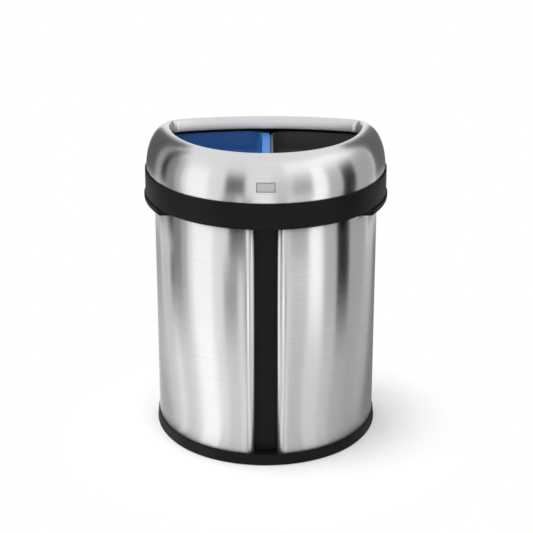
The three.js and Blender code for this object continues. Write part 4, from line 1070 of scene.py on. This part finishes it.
class BIN_OT_buckets(Maker, bpy.types.Operator):
    """Make the blue and the black lift-out buckets"""

    bl_idname = "bin.buckets"
    bl_label = "Buckets"

    FLOOR_GAP, STEP_TOP, STEP_BOTTOM, STEP, RIM_PLATE = mm(4, 44, 48, 2, 2.5)
    SLOT_HALF, SLOT_ROUND, SLOT_FRONT, SLOT_DROP, SLOT_REACH = mm(46, 13, 20, 27, 30)
    SLOT_STEPS, TURN_STEPS, ARC_STEPS = 24, 14, (20, 16, 18, 14)

    def build(self):
        buckets = self.buckets
        black_edge = buckets.blue_edge + self.BUCKET_GAP
        black_wall = black_edge + self.BLACK_RIM + buckets.wall
        blue_rim = buckets.blue_edge - buckets.blue_inner - buckets.wall
        self.bucket("blue", -1, -buckets.blue_inner, blue_rim, "blue_plastic")
        self.bucket("black", 1, black_wall, self.BLACK_RIM, "black_plastic")

    def loop(self, wall_x, inset, corner):
        """Half of the outline closed by a straight middle wall, on the right."""
        front, back = self.outline.arcs[0], self.outline.arcs[-1]
        a0 = math.asin((wall_x + corner) / (front[1] - inset - corner))
        a1 = math.pi - math.asin((wall_x + corner) / (back[1] - inset - corner))
        points = []

        def centre(arc, facing):
            reach = arc[1] - inset - corner
            return Vector((arc[2] + reach * math.sin(facing), arc[3] - reach * math.cos(facing)))

        def turn(middle, start, end):
            for i in range(self.TURN_STEPS):
                facing = start + (end - start) * i / self.TURN_STEPS
                points.append((middle.x + corner * math.sin(facing), middle.y - corner * math.cos(facing)))

        turn(centre(front, a0), -math.pi / 2, a0)
        stops = [a0] + [arc[0] for arc in self.outline.arcs[:3]] + [a1]
        for arc, start, end, steps in zip(self.outline.arcs, stops, stops[1:], self.ARC_STEPS):
            for i in range(steps):
                facing = start + (end - start) * i / steps
                reach = arc[1] - inset
                points.append((arc[2] + reach * math.sin(facing), arc[3] - reach * math.cos(facing)))
        turn(centre(back, a1), a1, math.pi * 1.5)
        last = centre(back, a1)
        points.append((last.x - corner, last.y))
        return points

    def bucket(self, name, sign, inner_x, middle_rim, slot):
        b = self.buckets
        wall_x, top = inner_x - b.wall, b.rim_top
        bottom = self.floor_top + self.seat
        plate = bottom + self.FLOOR_GAP
        step_top, step_bottom, step = top - self.STEP_TOP, top - self.STEP_BOTTOM, self.STEP
        under, rim_bottom, floor = top - self.RIM_PLATE, top - b.rim_drop, plate + b.wall

        def at_wall(inward, z):
            inward += (top - z) * math.tan(b.draft)
            return wall_x + inward, b.rim_inset + b.rim_width + inward, b.corner - inward, z

        def at_rim(inward, z):
            return wall_x - middle_rim + inward, b.rim_inset + inward, b.corner + b.rim_width - inward, z

        below = [at_wall(9 * MM, plate)] + [
            at_wall(inset * MM, bottom + rise * MM)
            for inset, rise in ((7.8, 0.3), (7.2, 0), (3.2, 0), (2.6, 0.3), (2.1, 1.6))
        ]
        outside = [
            at_wall(step, bottom + 3.4 * MM), at_wall(step, step_bottom - MM),
            at_wall(step * 0.9, step_bottom), at_wall(step * 0.1, step_top),
            at_wall(0, step_top + MM), at_wall(0, under - MM),
            at_wall(-0.3 * MM, under - 0.3 * MM), at_wall(-MM, under),
        ]
        rim = [at_rim(b.wall, under), at_rim(b.wall, rim_bottom), at_rim(b.wall - 0.4 * MM, rim_bottom)]
        rim += [at_rim(0.4 * MM, rim_bottom), at_rim(0, rim_bottom + 0.4 * MM)]
        rim += [
            at_rim(inset * MM, top - drop * MM)
            for inset, drop in ((0, 2.2), (0.25, 1.2), (0.8, 0.45), (1.6, 0.1), (2.4, 0))
        ]
        rim += [
            at_wall(b.wall - inset * MM, top - drop * MM)
            for inset, drop in ((1.8, 0), (1.0, 0.15), (0.4, 0.6), (0, 1.8))
        ]
        within = [
            at_wall(b.wall, step_top + MM), at_wall(b.wall + step * 0.1, step_top),
            at_wall(b.wall + step * 0.9, step_bottom), at_wall(b.wall + step, step_bottom - MM),
        ]
        within += [
            at_wall(b.wall + step + inset * MM, floor + rise * MM)
            for inset, rise in ((0, 5), (0.4, 2.6), (1.6, 0.9), (4, 0))
        ]
        levels = below + outside + rim + within
        loops = []
        for x0, inset, corner, z in levels:
            loops.append([(x * sign, y, z) for x, y in self.loop(x0, inset, corner)])
        piece = self.make(f"{name}_bucket_shell", skin(loops), slot, 30)
        combine(piece, [self.hand_slot(sign)], "DIFFERENCE", 30)
        dress(piece, f"{name}_bucket", slot, f"bucket_{name}")

    def hand_slot(self, sign):
        """A rounded slot through the outer wall."""
        b = self.buckets
        half, end, steps = self.SLOT_HALF, self.SLOT_ROUND, self.SLOT_STEPS
        y, z = self.outline.widest_y - self.SLOT_FRONT, b.rim_top - self.SLOT_DROP
        points = []
        for way in (1, -1):
            for i in range(steps + 1):
                turn = -way * math.pi / 2 + math.pi * i / steps
                points.append((y + way * (half - end) + end * math.cos(turn), z + end * math.sin(turn)))
        middle = sign * (self.outline.half - b.rim_inset - b.rim_width)
        return across(points, middle - self.SLOT_REACH, middle + self.SLOT_REACH)


class BIN_OT_hinges(Maker, bpy.types.Operator):
    """Make the two hinges: bracket, leaf and pin"""

    bl_idname = "bin.hinges"
    bl_label = "Hinges"

    KNUCKLE, KNUCKLE_HALF, EAR_GAP, EAR, PIN, PIN_GAP = mm(6.5, 8, 0.4, 4, 2.5, 0.3)
    BRACKET_HALF, BRACKET_DROP, EAR_LAP, EAR_TOP, EAR_BOTTOM = mm(20, 30, 2, 7, 14)
    LEAF_HALF, LEAF_RISE, NECK, HEEL_START, HEEL_END = mm(18, 10.5, 3.9, 1, 5.5)
    CLEAR, BORE_HALF, BRACKET_EDGE, LEAF_EDGE = mm(13, 14, 0.35, 0.3)
    KNUCKLE_TURN, MARGIN = math.radians(80), math.radians(1)
    PLATE_STEPS, KNUCKLE_STEPS, BORE_SEGMENTS = 8, 24, 32

    def build(self):
        for side, sign in SIDES:
            self.bracket(side, sign)
            self.leaf(side, sign)
            self.pin(side, sign)

    def plate(self, section, half, sign, margin=0.0):
        inset = section[0][0]
        start = self.outline.back_angle(self.lid.hinge_spread + half, inset) - margin
        end = self.outline.back_angle(self.lid.hinge_spread - half, inset) + margin
        steps = self.PLATE_STEPS
        facings = [sign * (start + (end - start) * i / steps) for i in range(steps + 1)]
        return sweep(self.outline, section, facings)

    def bore(self, x, half):
        return self.cylinder(x, self.PIN + self.PIN_GAP, half, self.BORE_SEGMENTS)

    def cylinder(self, x, radius, half, segments=40):
        """A cylinder on the hinges' axis."""
        profile = [(0, -half), (radius, -half), (radius, half), (0, half)]
        return turned(profile, (x, self.hinge_y, self.hinge_z), (1, 0, 0), segments)

    def bracket(self, side, sign):
        x, inside = sign * self.lid.hinge_spread, self.KNUCKLE_HALF + self.EAR_GAP
        inner = self.body.inset - self.seat
        outer = inner - self.BRACKET_PLATE
        bottom, top = self.hinge_z - self.BRACKET_DROP, self.lip_bottom - self.seat
        corners = rounded(upright(outer, inner, bottom, top), mm(1, 0.6, 0, 0))
        section = [tuple(corner) for corner in corners]
        plate = self.plate(section, self.BRACKET_HALF, sign)
        bracket = self.make(f"hinge_bracket_{side}_plate", plate, "hinge_steel")
        facing = self.outline.back_angle(self.lid.hinge_spread, outer)
        wall = self.outline.point(facing, outer).y - self.EAR_LAP
        profile = [(wall, self.hinge_z + self.EAR_TOP)]
        for i in range(self.KNUCKLE_STEPS + 1):
            turn = self.KNUCKLE_TURN * (1 - 2 * i / self.KNUCKLE_STEPS)
            y, z = self.KNUCKLE * math.cos(turn), self.KNUCKLE * math.sin(turn)
            profile.append((self.hinge_y + y, self.hinge_z + z))
        profile.append((wall, self.hinge_z - self.EAR_BOTTOM))
        ears = [across(profile, x0, x0 + self.EAR) for x0 in (x - inside - self.EAR, x + inside)]
        combine(bracket, ears, "UNION")
        section = upright(inner, inner + self.CLEAR, bottom - self.PAST, top + self.CLEAR)
        beyond = self.plate(section, self.BRACKET_HALF, sign, self.MARGIN)
        combine(bracket, [beyond, self.bore(x, self.BORE_HALF)], "DIFFERENCE")
        bevel(bracket, self.BRACKET_EDGE, 2, 50)
        dress(bracket, "body", "hinge_steel", f"hinge_bracket_{side}")

    def leaf(self, side, sign):
        lid, seat = self.lid, self.seat
        x, half = sign * lid.hinge_spread, self.KNUCKLE_HALF
        outer = lid.collar_wall + seat
        inner = outer + self.LEAF_PLATE
        bottom, top = self.hinge_z + self.LEAF_RISE, lid.shelf_bottom - seat
        plate = self.plate(upright(outer, inner, bottom, top), self.LEAF_HALF, sign)
        leaf = self.make(f"hinge_leaf_{side}_plate", plate, "hinge_steel")
        y = self.outline.point(self.outline.back_angle(lid.hinge_spread, inner), inner).y
        neck = block(x - half, x + half, y, y + self.NECK, self.hinge_z, bottom + self.PAST)
        knuckle = self.cylinder(x, self.KNUCKLE, half)
        combine(leaf, [neck, knuckle, self.heel(x, half)], "UNION")
        section = upright(outer, outer - self.CLEAR, bottom - self.PAST, top + self.PAST)
        beyond = self.plate(section, self.LEAF_HALF, sign, self.MARGIN)
        combine(leaf, [beyond, self.bore(x, half + self.PAST)], "DIFFERENCE")
        bevel(leaf, self.LEAF_EDGE, 2, 50)
        dress(leaf, "lid", "hinge_steel", f"hinge_leaf_{side}")

    def heel(self, x, half):
        """The stop under a leaf's knuckle, long enough to meet the bracket when the lid is open."""
        inset = self.body.inset - self.seat - self.BRACKET_PLATE
        facing = self.outline.back_angle(self.lid.hinge_spread - half, inset)
        room = self.hinge_y - self.outline.point(facing, inset).y - self.seat * 2
        reach = (room + self.HEEL_START * math.cos(self.OPENED)) / math.sin(self.OPENED)
        y0, y1 = self.hinge_y + self.HEEL_START, self.hinge_y + self.HEEL_END
        return block(x - half, x + half, y0, y1, self.hinge_z - reach, self.hinge_z)

    def pin(self, side, sign):
        end = self.KNUCKLE_HALF + self.EAR_GAP + self.EAR + self.seat
        profile = [
            (0, -end - 1.8 * MM), (3.0 * MM, -end - 1.8 * MM), (3.8 * MM, -end - 1.4 * MM),
            (4.2 * MM, -end - 0.6 * MM), (4.2 * MM, -end), (self.PIN, -end), (self.PIN, end + 0.2 * MM),
            (self.PIN - 0.7 * MM, end + 0.8 * MM), (0, end + 0.8 * MM),
        ]
        mesh = turned(profile, (sign * self.lid.hinge_spread, self.hinge_y, self.hinge_z), (sign, 0, 0))
        pin = self.make(f"hinge_pin_{side}_turned", mesh, "hinge_steel")
        dress(pin, "body", "hinge_steel", f"hinge_pin_{side}")


class BIN_OT_screws(Maker, bpy.types.Operator):
    """Make the cross-head screws of the hinges, grips and ring"""

    bl_idname = "bin.screws"
    bl_label = "Screws"

    BRACKET_SPREAD, BRACKET_DROP, BRACKET_REACH = mm(12, 21, 8.1)
    LEAF_SPREAD, LEAF_RISE, LEAF_REACH = mm(11, 15, 4.8)
    GRIP_FRONT, GRIP_BACK, GRIP_REACH = mm(34, 48, 8.3)
    RING_INSET, RING_REACH = mm(3.5, 7)
    RING_FRONT, RING_BACK = math.radians(58), math.radians(122)
    HEAD, HEAD_HEIGHT, HEAD_SIDE, SHANK, TIP = mm(3.6, 2.1, 0.25, 1.6, 0.6)
    CROSS_LENGTH, CROSS_WIDTH, CROSS_DEPTH = mm(3.8, 0.75, 1.2)
    HEAD_STEPS, HEAD_SEGMENTS, CROSS_TURN = 8, 28, 0.5

    def build(self):
        outline, body, lid, b, seat = self.outline, self.body, self.lid, self.buckets, self.seat
        flange = body.inset - seat - self.GRIP_FLANGE
        grip_z = (self.lip_bottom - seat - self.GRIP_FLANGE + lid.collar_bottom - seat - self.GRIP_HANG) / 2
        for side, sign in SIDES:
            for hand, letter in ((-1, "a"), (1, "b")):
                spread = lid.hinge_spread + hand * self.BRACKET_SPREAD
                facing = sign * outline.back_angle(spread, body.inset)
                inset, z = body.inset - seat - self.BRACKET_PLATE, self.hinge_z - self.BRACKET_DROP
                self.screw("bracket_screw", side, letter, "body", facing, inset, z, 1, self.BRACKET_REACH)
                spread = lid.hinge_spread + hand * self.LEAF_SPREAD
                facing = sign * outline.back_angle(spread, lid.collar_wall)
                inset, z = lid.collar_wall + seat + self.LEAF_PLATE, self.hinge_z + self.LEAF_RISE
                self.screw("leaf_screw", side, letter, "lid", facing, inset, z, -1, self.LEAF_REACH)
                reach = -b.grip_front + self.GRIP_FRONT if hand < 0 else b.grip_back - self.GRIP_BACK
                facing = sign * outline.side_angle(outline.widest_y + reach, flange)
                self.screw("grip_screw", side, letter, "body", facing, flange, grip_z, 1, self.GRIP_REACH)
                facing = sign * (self.RING_FRONT if hand < 0 else self.RING_BACK)
                spot = outline.point(facing, lid.ring_inset + body.steel + self.RING_INSET)
                origin = (spot.x, spot.y, lid.shelf_bottom)
                self.place("ring_screw", side, letter, "lid", origin, (0, 0, -1), self.RING_REACH)

    def screw(self, kind, side, letter, body, facing, inset, z, way, reach):
        spot = self.outline.point(facing, inset)
        outward = Vector((math.sin(facing), -math.cos(facing), 0)) * way
        self.place(kind, side, letter, body, (spot.x, spot.y, z), outward, reach)

    def place(self, kind, side, letter, body, origin, axis, reach):
        seat, radius, height, shank = self.seat, self.HEAD, self.HEAD_HEIGHT, self.SHANK
        side_top, steps = seat + self.HEAD_SIDE, self.HEAD_STEPS
        profile = [
            (0, -reach), (shank * 0.7, -reach), (shank, -reach + self.TIP), (shank, seat),
            (radius - 0.2 * MM, seat), (radius, side_top),
        ]
        for i in range(1, steps + 1):
            t = math.pi / 2 * i / steps
            across_head = radius * math.cos(t) if i < steps else 0
            profile.append((across_head, side_top + (height - self.HEAD_SIDE) * math.sin(t)))
        name = f"{kind}_{side}_{letter}"
        screw = self.make(f"{name}_head", turned(profile, origin, axis, self.HEAD_SEGMENTS), "screw_steel")
        turn = Vector((0, 0, 1)).rotation_difference(Vector(axis)).to_matrix().to_4x4()
        low, high = seat + height - self.CROSS_DEPTH, seat + height + self.PAST
        slots = []
        for width, depth in ((self.CROSS_LENGTH, self.CROSS_WIDTH), (self.CROSS_WIDTH, self.CROSS_LENGTH)):
            cutter = block(-width / 2, width / 2, -depth / 2, depth / 2, low, high)
            twist = Matrix.Rotation(self.CROSS_TURN, 4, "Z")
            cutter.transform(Matrix.Translation(Vector(origin)) @ turn @ twist)
            slots.append(cutter)
        combine(screw, slots, "DIFFERENCE")
        dress(screw, body, "screw_steel", name)


class BIN_OT_rubber(Maker, bpy.types.Operator):
    """Make the feet and the lid's bumpers"""

    bl_idname = "bin.rubber"
    bl_label = "Feet and bumpers"

    BUMPER_FROM, BUMPER_HALF, BUMPER_TAPER = mm(9, 3, 0.6)
    BUMPER_DEGREES, BUMPER_STEPS = 2.5, 4
    BUMPERS = (("front", 35), ("back", 140))

    def build(self):
        body, seat = self.body, self.seat
        radius, height = body.foot_radius, body.foot_height - seat
        profile = [
            (0, 0.4 * MM), (6 * MM, 0.4 * MM), (7 * MM, 0), (radius - 2.4 * MM, 0),
            (radius - 1.2 * MM, 0.3 * MM), (radius - 0.3 * MM, 1.1 * MM), (radius, 2.2 * MM),
            (radius, height - 0.4 * MM), (radius - 0.4 * MM, height), (0, height),
        ]
        for name, at in self.foot_places().items():
            pad = turned(profile, (at.x, at.y, 0), (0, 0, 1), 48)
            foot = self.make(f"foot_{name}_pad", pad, "foot_rubber")
            dress(foot, "body", "foot_rubber", f"foot_{name}")
        middle = (self.BUMPER_FROM + self.lid.shelf_inset) / 2
        half, taper = self.BUMPER_HALF, self.BUMPER_TAPER
        z0, z1 = self.frame_top + seat, self.lid.shelf_bottom - seat
        points = [
            (middle - half, z0), (middle - half + taper, z1),
            (middle + half - taper, z1), (middle + half, z0),
        ]
        section, steps = rounded(points, mm(0.2, 1, 1, 0.2)), self.BUMPER_STEPS
        for side, sign in SIDES:
            for name, degrees in self.BUMPERS:
                turns = [self.BUMPER_DEGREES * (i / steps - 1) for i in range(2 * steps + 1)]
                pad = sweep(self.outline, section, [sign * math.radians(degrees + turn) for turn in turns])
                bumper = self.make(f"bumper_{name}_{side}_pad", pad, "foot_rubber")
                dress(bumper, "body", "foot_rubber", f"lid_bumper_{name}_{side}")


class BIN_OT_studio(bpy.types.Operator):
    """Set up the floor, the soft lights, the cards for the steel and the camera"""

    bl_idname = "bin.studio"
    bl_label = "Studio"
    bl_options = {"REGISTER", "UNDO"}

    # Cards round the bin, seen by gloss alone, in degrees and metres: name, facing, half width, lower edge,
    # upper edge, level, level on the floor. Their places and levels suit the camera's own view. A card whose
    # lower edge is 0 runs on over the floor to the bin, along the lines that the steel sees.
    CARDS = (
        ("card_left_back", -133, 11, 0, 0.5, 0.42, 0.6),
        ("flag_left_back", -130, 14, 0.5, 1.3, 0.12, 0.12),
        ("card_left_rear", -113, 5, 0, 0.5, 0.68, 0.8),
        ("card_left_rear_high", -112.5, 5.5, 0.5, 1.1, 0.42, 0.42),
        ("flag_left", -101.5, 2.7, 0, 0.5, 0.0, 1.25),
        ("flag_left_high", -101.5, 4.2, 0.5, 1.25, 0.0, 0.0),
        ("card_left_side", -93, 5, 0, 1.0, 0.3, 0.85),
        ("card_left_shade", -83.5, 3, 0, 1.0, 0.55, 0.9),
        ("light_left", -62.5, 10.5, 0, 1.0, 1.3, 1.42),
        ("card_left_front", -33, 6, 0, 0.58, 0.34, 0.85),
        ("flag_front", -26.5, 8, 0.58, 0.97, 0.03, 0.03),
        ("card_near_left", -16, 3, 0, 0.58, 0.34, 0.6),
        ("light_front", 0, 7, 0, 0.5, 1.7, 1.0),
        ("card_front_high", 14, 8, 0.54, 0.9, 0.72, 0.72),
        ("card_near_right", 14.5, 3.5, 0, 0.54, 0.36, 0.7),
        ("card_right_high", 32, 8, 0.58, 0.9, 0.42, 0.42),
        ("card_right_front", 31, 7.5, 0, 0.54, 0.76, 0.69),
        ("light_right", 48, 5.5, 0, 1.3, 1.35, 0.86),
        ("card_right_grey", 62.5, 5.5, 0, 0.97, 0.6, 0.72),
        ("flag_right", 78.5, 7.5, 0, 0.97, 0.0, 0.56),
        ("card_right_side", 99, 11, 0, 1.0, 0.49, 0.5),
        ("card_right_rear", 118, 5.5, 0, 0.5, 0.6, 0.52),
        ("card_right_back", 137, 11, 0, 0.5, 0.25, 0.25),
        ("flag_right_back", 130, 16, 0.5, 1.3, 0.15, 0.15),
        ("light_right_high", 60, 40, 1.0, 1.6, 1.35, 1.35),
    )
    # Lamps, in metres and watts: name, place, where they point, size, power.
    LAMPS = (
        ("lamp_above", (-0.4, -0.3, 3.2), (0.0, 0.0, 0.3), 1.0, 58),
        ("lamp_front", (-0.6, -3.2, 1.9), (0.0, 0.0, 0.35), 2.2, 26),
    )

    FLOOR_RADIUS, FLOOR_SEGMENTS = 30, 96
    SENSOR_WIDTH = 36
    CARD_STEPS, SEARCH_STEPS = 12, 30
    CARD_LAYER, CARD_LIFT, CARD_TO_RIM = mm(5, 2, 2)

    def execute(self, context):
        scene, studio = context.scene, context.scene.bin_studio
        self.outline, self.foot_inset = Outline(scene.bin_plan), scene.bin_body.base_inset - self.CARD_TO_RIM
        scene.view_settings.view_transform = "Standard"
        self.floor(studio)
        self.world(scene, studio)
        for lamp in self.LAMPS:
            self.lamp(scene, *lamp)
        for i, card in enumerate(self.CARDS):
            self.card(studio, i % 2, *card)
        self.camera(scene, studio)
        return {"FINISHED"}

    def backdrop_ray(self, n):
        """1 for the rays that see the white backdrop, and 0 for those that light the bin."""
        path = n.add("ShaderNodeLightPath")
        gloss = n.add("ShaderNodeMath", operation="MAXIMUM")
        seen = n.add("ShaderNodeMath", operation="MAXIMUM")
        n.link(path.outputs["Is Camera Ray"], gloss.inputs[0])
        n.link(path.outputs["Is Glossy Ray"], gloss.inputs[1])
        n.link(gloss.outputs[0], seen.inputs[0])
        n.link(path.outputs["Is Transmission Ray"], seen.inputs[1])
        return seen.outputs[0]

    def floor(self, studio):
        """A pale floor that runs into white, and keeps the shadow near the bin."""
        mesh = bmesh.new()
        bmesh.ops.create_circle(mesh, cap_ends=True, radius=self.FLOOR_RADIUS, segments=self.FLOOR_SEGMENTS)
        n = Nodes("studio_floor")
        n.shader.inputs["Roughness"].default_value = 0.95
        n.shader.inputs["Specular IOR Level"].default_value = 0.0
        spot = n.add("ShaderNodeTexCoord").outputs["Object"]
        paint = n.mix(n.noise(spot, 3.0), scaled(studio.floor, 0.995), studio.floor)
        n.link(paint, n.shader.inputs["Base Color"])
        away = n.add("ShaderNodeVectorMath", operation="LENGTH")
        n.link(spot, away.inputs[0])
        far = n.span(away.outputs["Value"], studio.glow, 1.0, studio.shadow_start, studio.shadow_reach)
        amount = n.add("ShaderNodeMath", operation="MULTIPLY")
        n.link(far, amount.inputs[0])
        n.link(self.backdrop_ray(n), amount.inputs[1])
        glow, mix = n.add("ShaderNodeEmission"), n.add("ShaderNodeMixShader")
        glow.inputs["Strength"].default_value = 1.0
        n.link(amount.outputs[0], mix.inputs[0])
        n.link(n.shader.outputs[0], mix.inputs[1])
        n.link(glow.outputs[0], mix.inputs[2])
        n.link(mix.outputs[0], n.output.inputs["Surface"])
        new_object("studio_floor", mesh, n.material)

    def world(self, scene, studio):
        world = bpy.data.worlds.new("studio_world")
        world.use_nodes = True
        scene.world = world
        n = Nodes(world)
        room, backdrop = n.add("ShaderNodeBackground"), n.add("ShaderNodeBackground")
        mix = n.add("ShaderNodeMixShader")
        room.inputs["Color"].default_value = backdrop.inputs["Color"].default_value = (1, 1, 1, 1)
        room.inputs["Strength"].default_value = studio.room_level
        n.link(self.backdrop_ray(n), mix.inputs[0])
        n.link(room.outputs[0], mix.inputs[1])
        n.link(backdrop.outputs[0], mix.inputs[2])
        n.link(mix.outputs[0], n.output.inputs["Surface"])

    def lamp(self, scene, name, place, target, size, power):
        data = bpy.data.lights.new(name, "AREA")
        data.shape = "DISK"
        data.size = size
        data.energy = power
        lamp = bpy.data.objects.new(name, data)
        lamp.location = place
        lamp.rotation_euler = (Vector(target) - Vector(place)).to_track_quat("-Z", "Y").to_euler()
        lamp.visible_camera = lamp.visible_glossy = False
        scene.collection.objects.link(lamp)

    def card(self, studio, layer, name, facing, half, low, high, level, foot):
        """A glowing sheet. Neighbours lie in two layers, so that their soft edges never share a place."""
        steps, reach = self.CARD_STEPS, half + studio.card_softness
        radius, near_floor = studio.card_radius + self.CARD_LAYER * layer, self.CARD_LIFT + MM * layer
        columns = []
        for i in range(steps + 1):
            turn = math.radians(facing + reach * (2 * i / steps - 1))
            out = Vector((math.sin(turn), -math.cos(turn))) * radius
            column = [(*out, low or near_floor), (*out, high)]
            if not low:
                column.insert(0, (*self.seen_in(out), near_floor))
            columns.append(column)
        corner = 0.0 if low else (Vector(columns[0][1]) - Vector(columns[0][0])).length
        top = corner + high - columns[0][-2][2]
        n = Nodes(name)
        split = n.add("ShaderNodeSeparateXYZ")
        n.link(n.add("ShaderNodeUVMap", uv_map=GRAIN_MAP).outputs["UV"], split.inputs[0])
        width = 2 * radius * math.radians(reach)
        fade = width * studio.card_softness / reach / 2
        share_of_card = n.add("ShaderNodeMath", operation="MULTIPLY")
        upward = n.add("ShaderNodeMath", operation="MULTIPLY")
        n.link(n.span(split.outputs["X"], 0, 1, 0, fade), share_of_card.inputs[0])
        n.link(n.span(split.outputs["X"], 1, 0, width - fade, width), share_of_card.inputs[1])
        n.link(share_of_card.outputs[0], upward.inputs[0])
        n.link(n.span(split.outputs["Y"], 1, 0, top - studio.card_fade, top), upward.inputs[1])
        glow, clear = n.add("ShaderNodeEmission"), n.add("ShaderNodeBsdfTransparent")
        mix = n.add("ShaderNodeMixShader")
        strength = n.span(split.outputs["Y"], foot, level, corner, corner + studio.card_rise)
        n.link(strength, glow.inputs["Strength"])
        n.link(upward.outputs[0], mix.inputs[0])
        n.link(clear.outputs[0], mix.inputs[1])
        n.link(glow.outputs[0], mix.inputs[2])
        n.link(mix.outputs[0], n.output.inputs["Surface"])
        card = new_object(name, skin(columns, close_columns=False, caps=False), n.material)
        card.visible_camera = card.visible_diffuse = card.visible_shadow = card.visible_transmission = False

    def seen_in(self, place):
        """Where the upright steel shows a place to an eye far in front of the bin."""
        sign = math.copysign(1, place.x)
        target = Vector((abs(place.x), place.y))
        low, high = 0.0, math.pi / 2
        for _ in range(self.SEARCH_STEPS):
            facing = (low + high) / 2
            there = target - self.outline.point(facing, self.foot_inset)
            if math.atan2(there.x, -there.y) > 2 * facing:
                low = facing
            else:
                high = facing
        spot = self.outline.point(low, self.foot_inset)
        return Vector((spot.x * sign, spot.y))

    def camera(self, scene, studio):
        data = bpy.data.cameras.new("camera")
        data.lens = studio.lens
        data.sensor_width = self.SENSOR_WIDTH
        data.shift_x = studio.shift_x
        data.shift_y = studio.shift_y
        camera = bpy.data.objects.new("camera", data)
        camera.location = (0, -studio.distance, studio.camera_height)
        camera.rotation_euler = (math.pi / 2 - studio.pitch, 0, 0)
        scene.collection.objects.link(camera)
        scene.camera = camera


PIECES = (
    BIN_OT_base, BIN_OT_panels, BIN_OT_strips, BIN_OT_top_frame, BIN_OT_grips, BIN_OT_buckets,
    BIN_OT_collar, BIN_OT_lid_ring, BIN_OT_mouth_bead, BIN_OT_badge, BIN_OT_hinges, BIN_OT_screws,
    BIN_OT_rubber, BIN_OT_studio,
)


class BIN_PT_panel(bpy.types.Panel):
    """The bin's pieces and sizes"""

    bl_idname = "BIN_PT_panel"
    bl_label = "Recycling Bin"
    bl_space_type = "VIEW_3D"
    bl_region_type = "UI"
    bl_category = "Bin"

    def draw(self, context):
        layout = self.layout
        for piece in PIECES:
            layout.operator(piece.bl_idname)
        for name, group in GROUPS.items():
            box = layout.box()
            settings = getattr(context.scene, name)
            for key in group.__annotations__:
                box.prop(settings, key)


CLASSES = (*GROUPS.values(), *PIECES, BIN_PT_panel)


def register():
    for item in CLASSES:
        bpy.utils.register_class(item)
    for name, group in GROUPS.items():
        setattr(bpy.types.Scene, name, PointerProperty(type=group))


def unregister():
    for name in GROUPS:
        delattr(bpy.types.Scene, name)
    for item in reversed(CLASSES):
        bpy.utils.unregister_class(item)


def main():
    register()
    for piece in PIECES:
        category, name = piece.bl_idname.split(".")
        getattr(getattr(bpy.ops, category), name)()


if __name__ == "__main__":
    main()
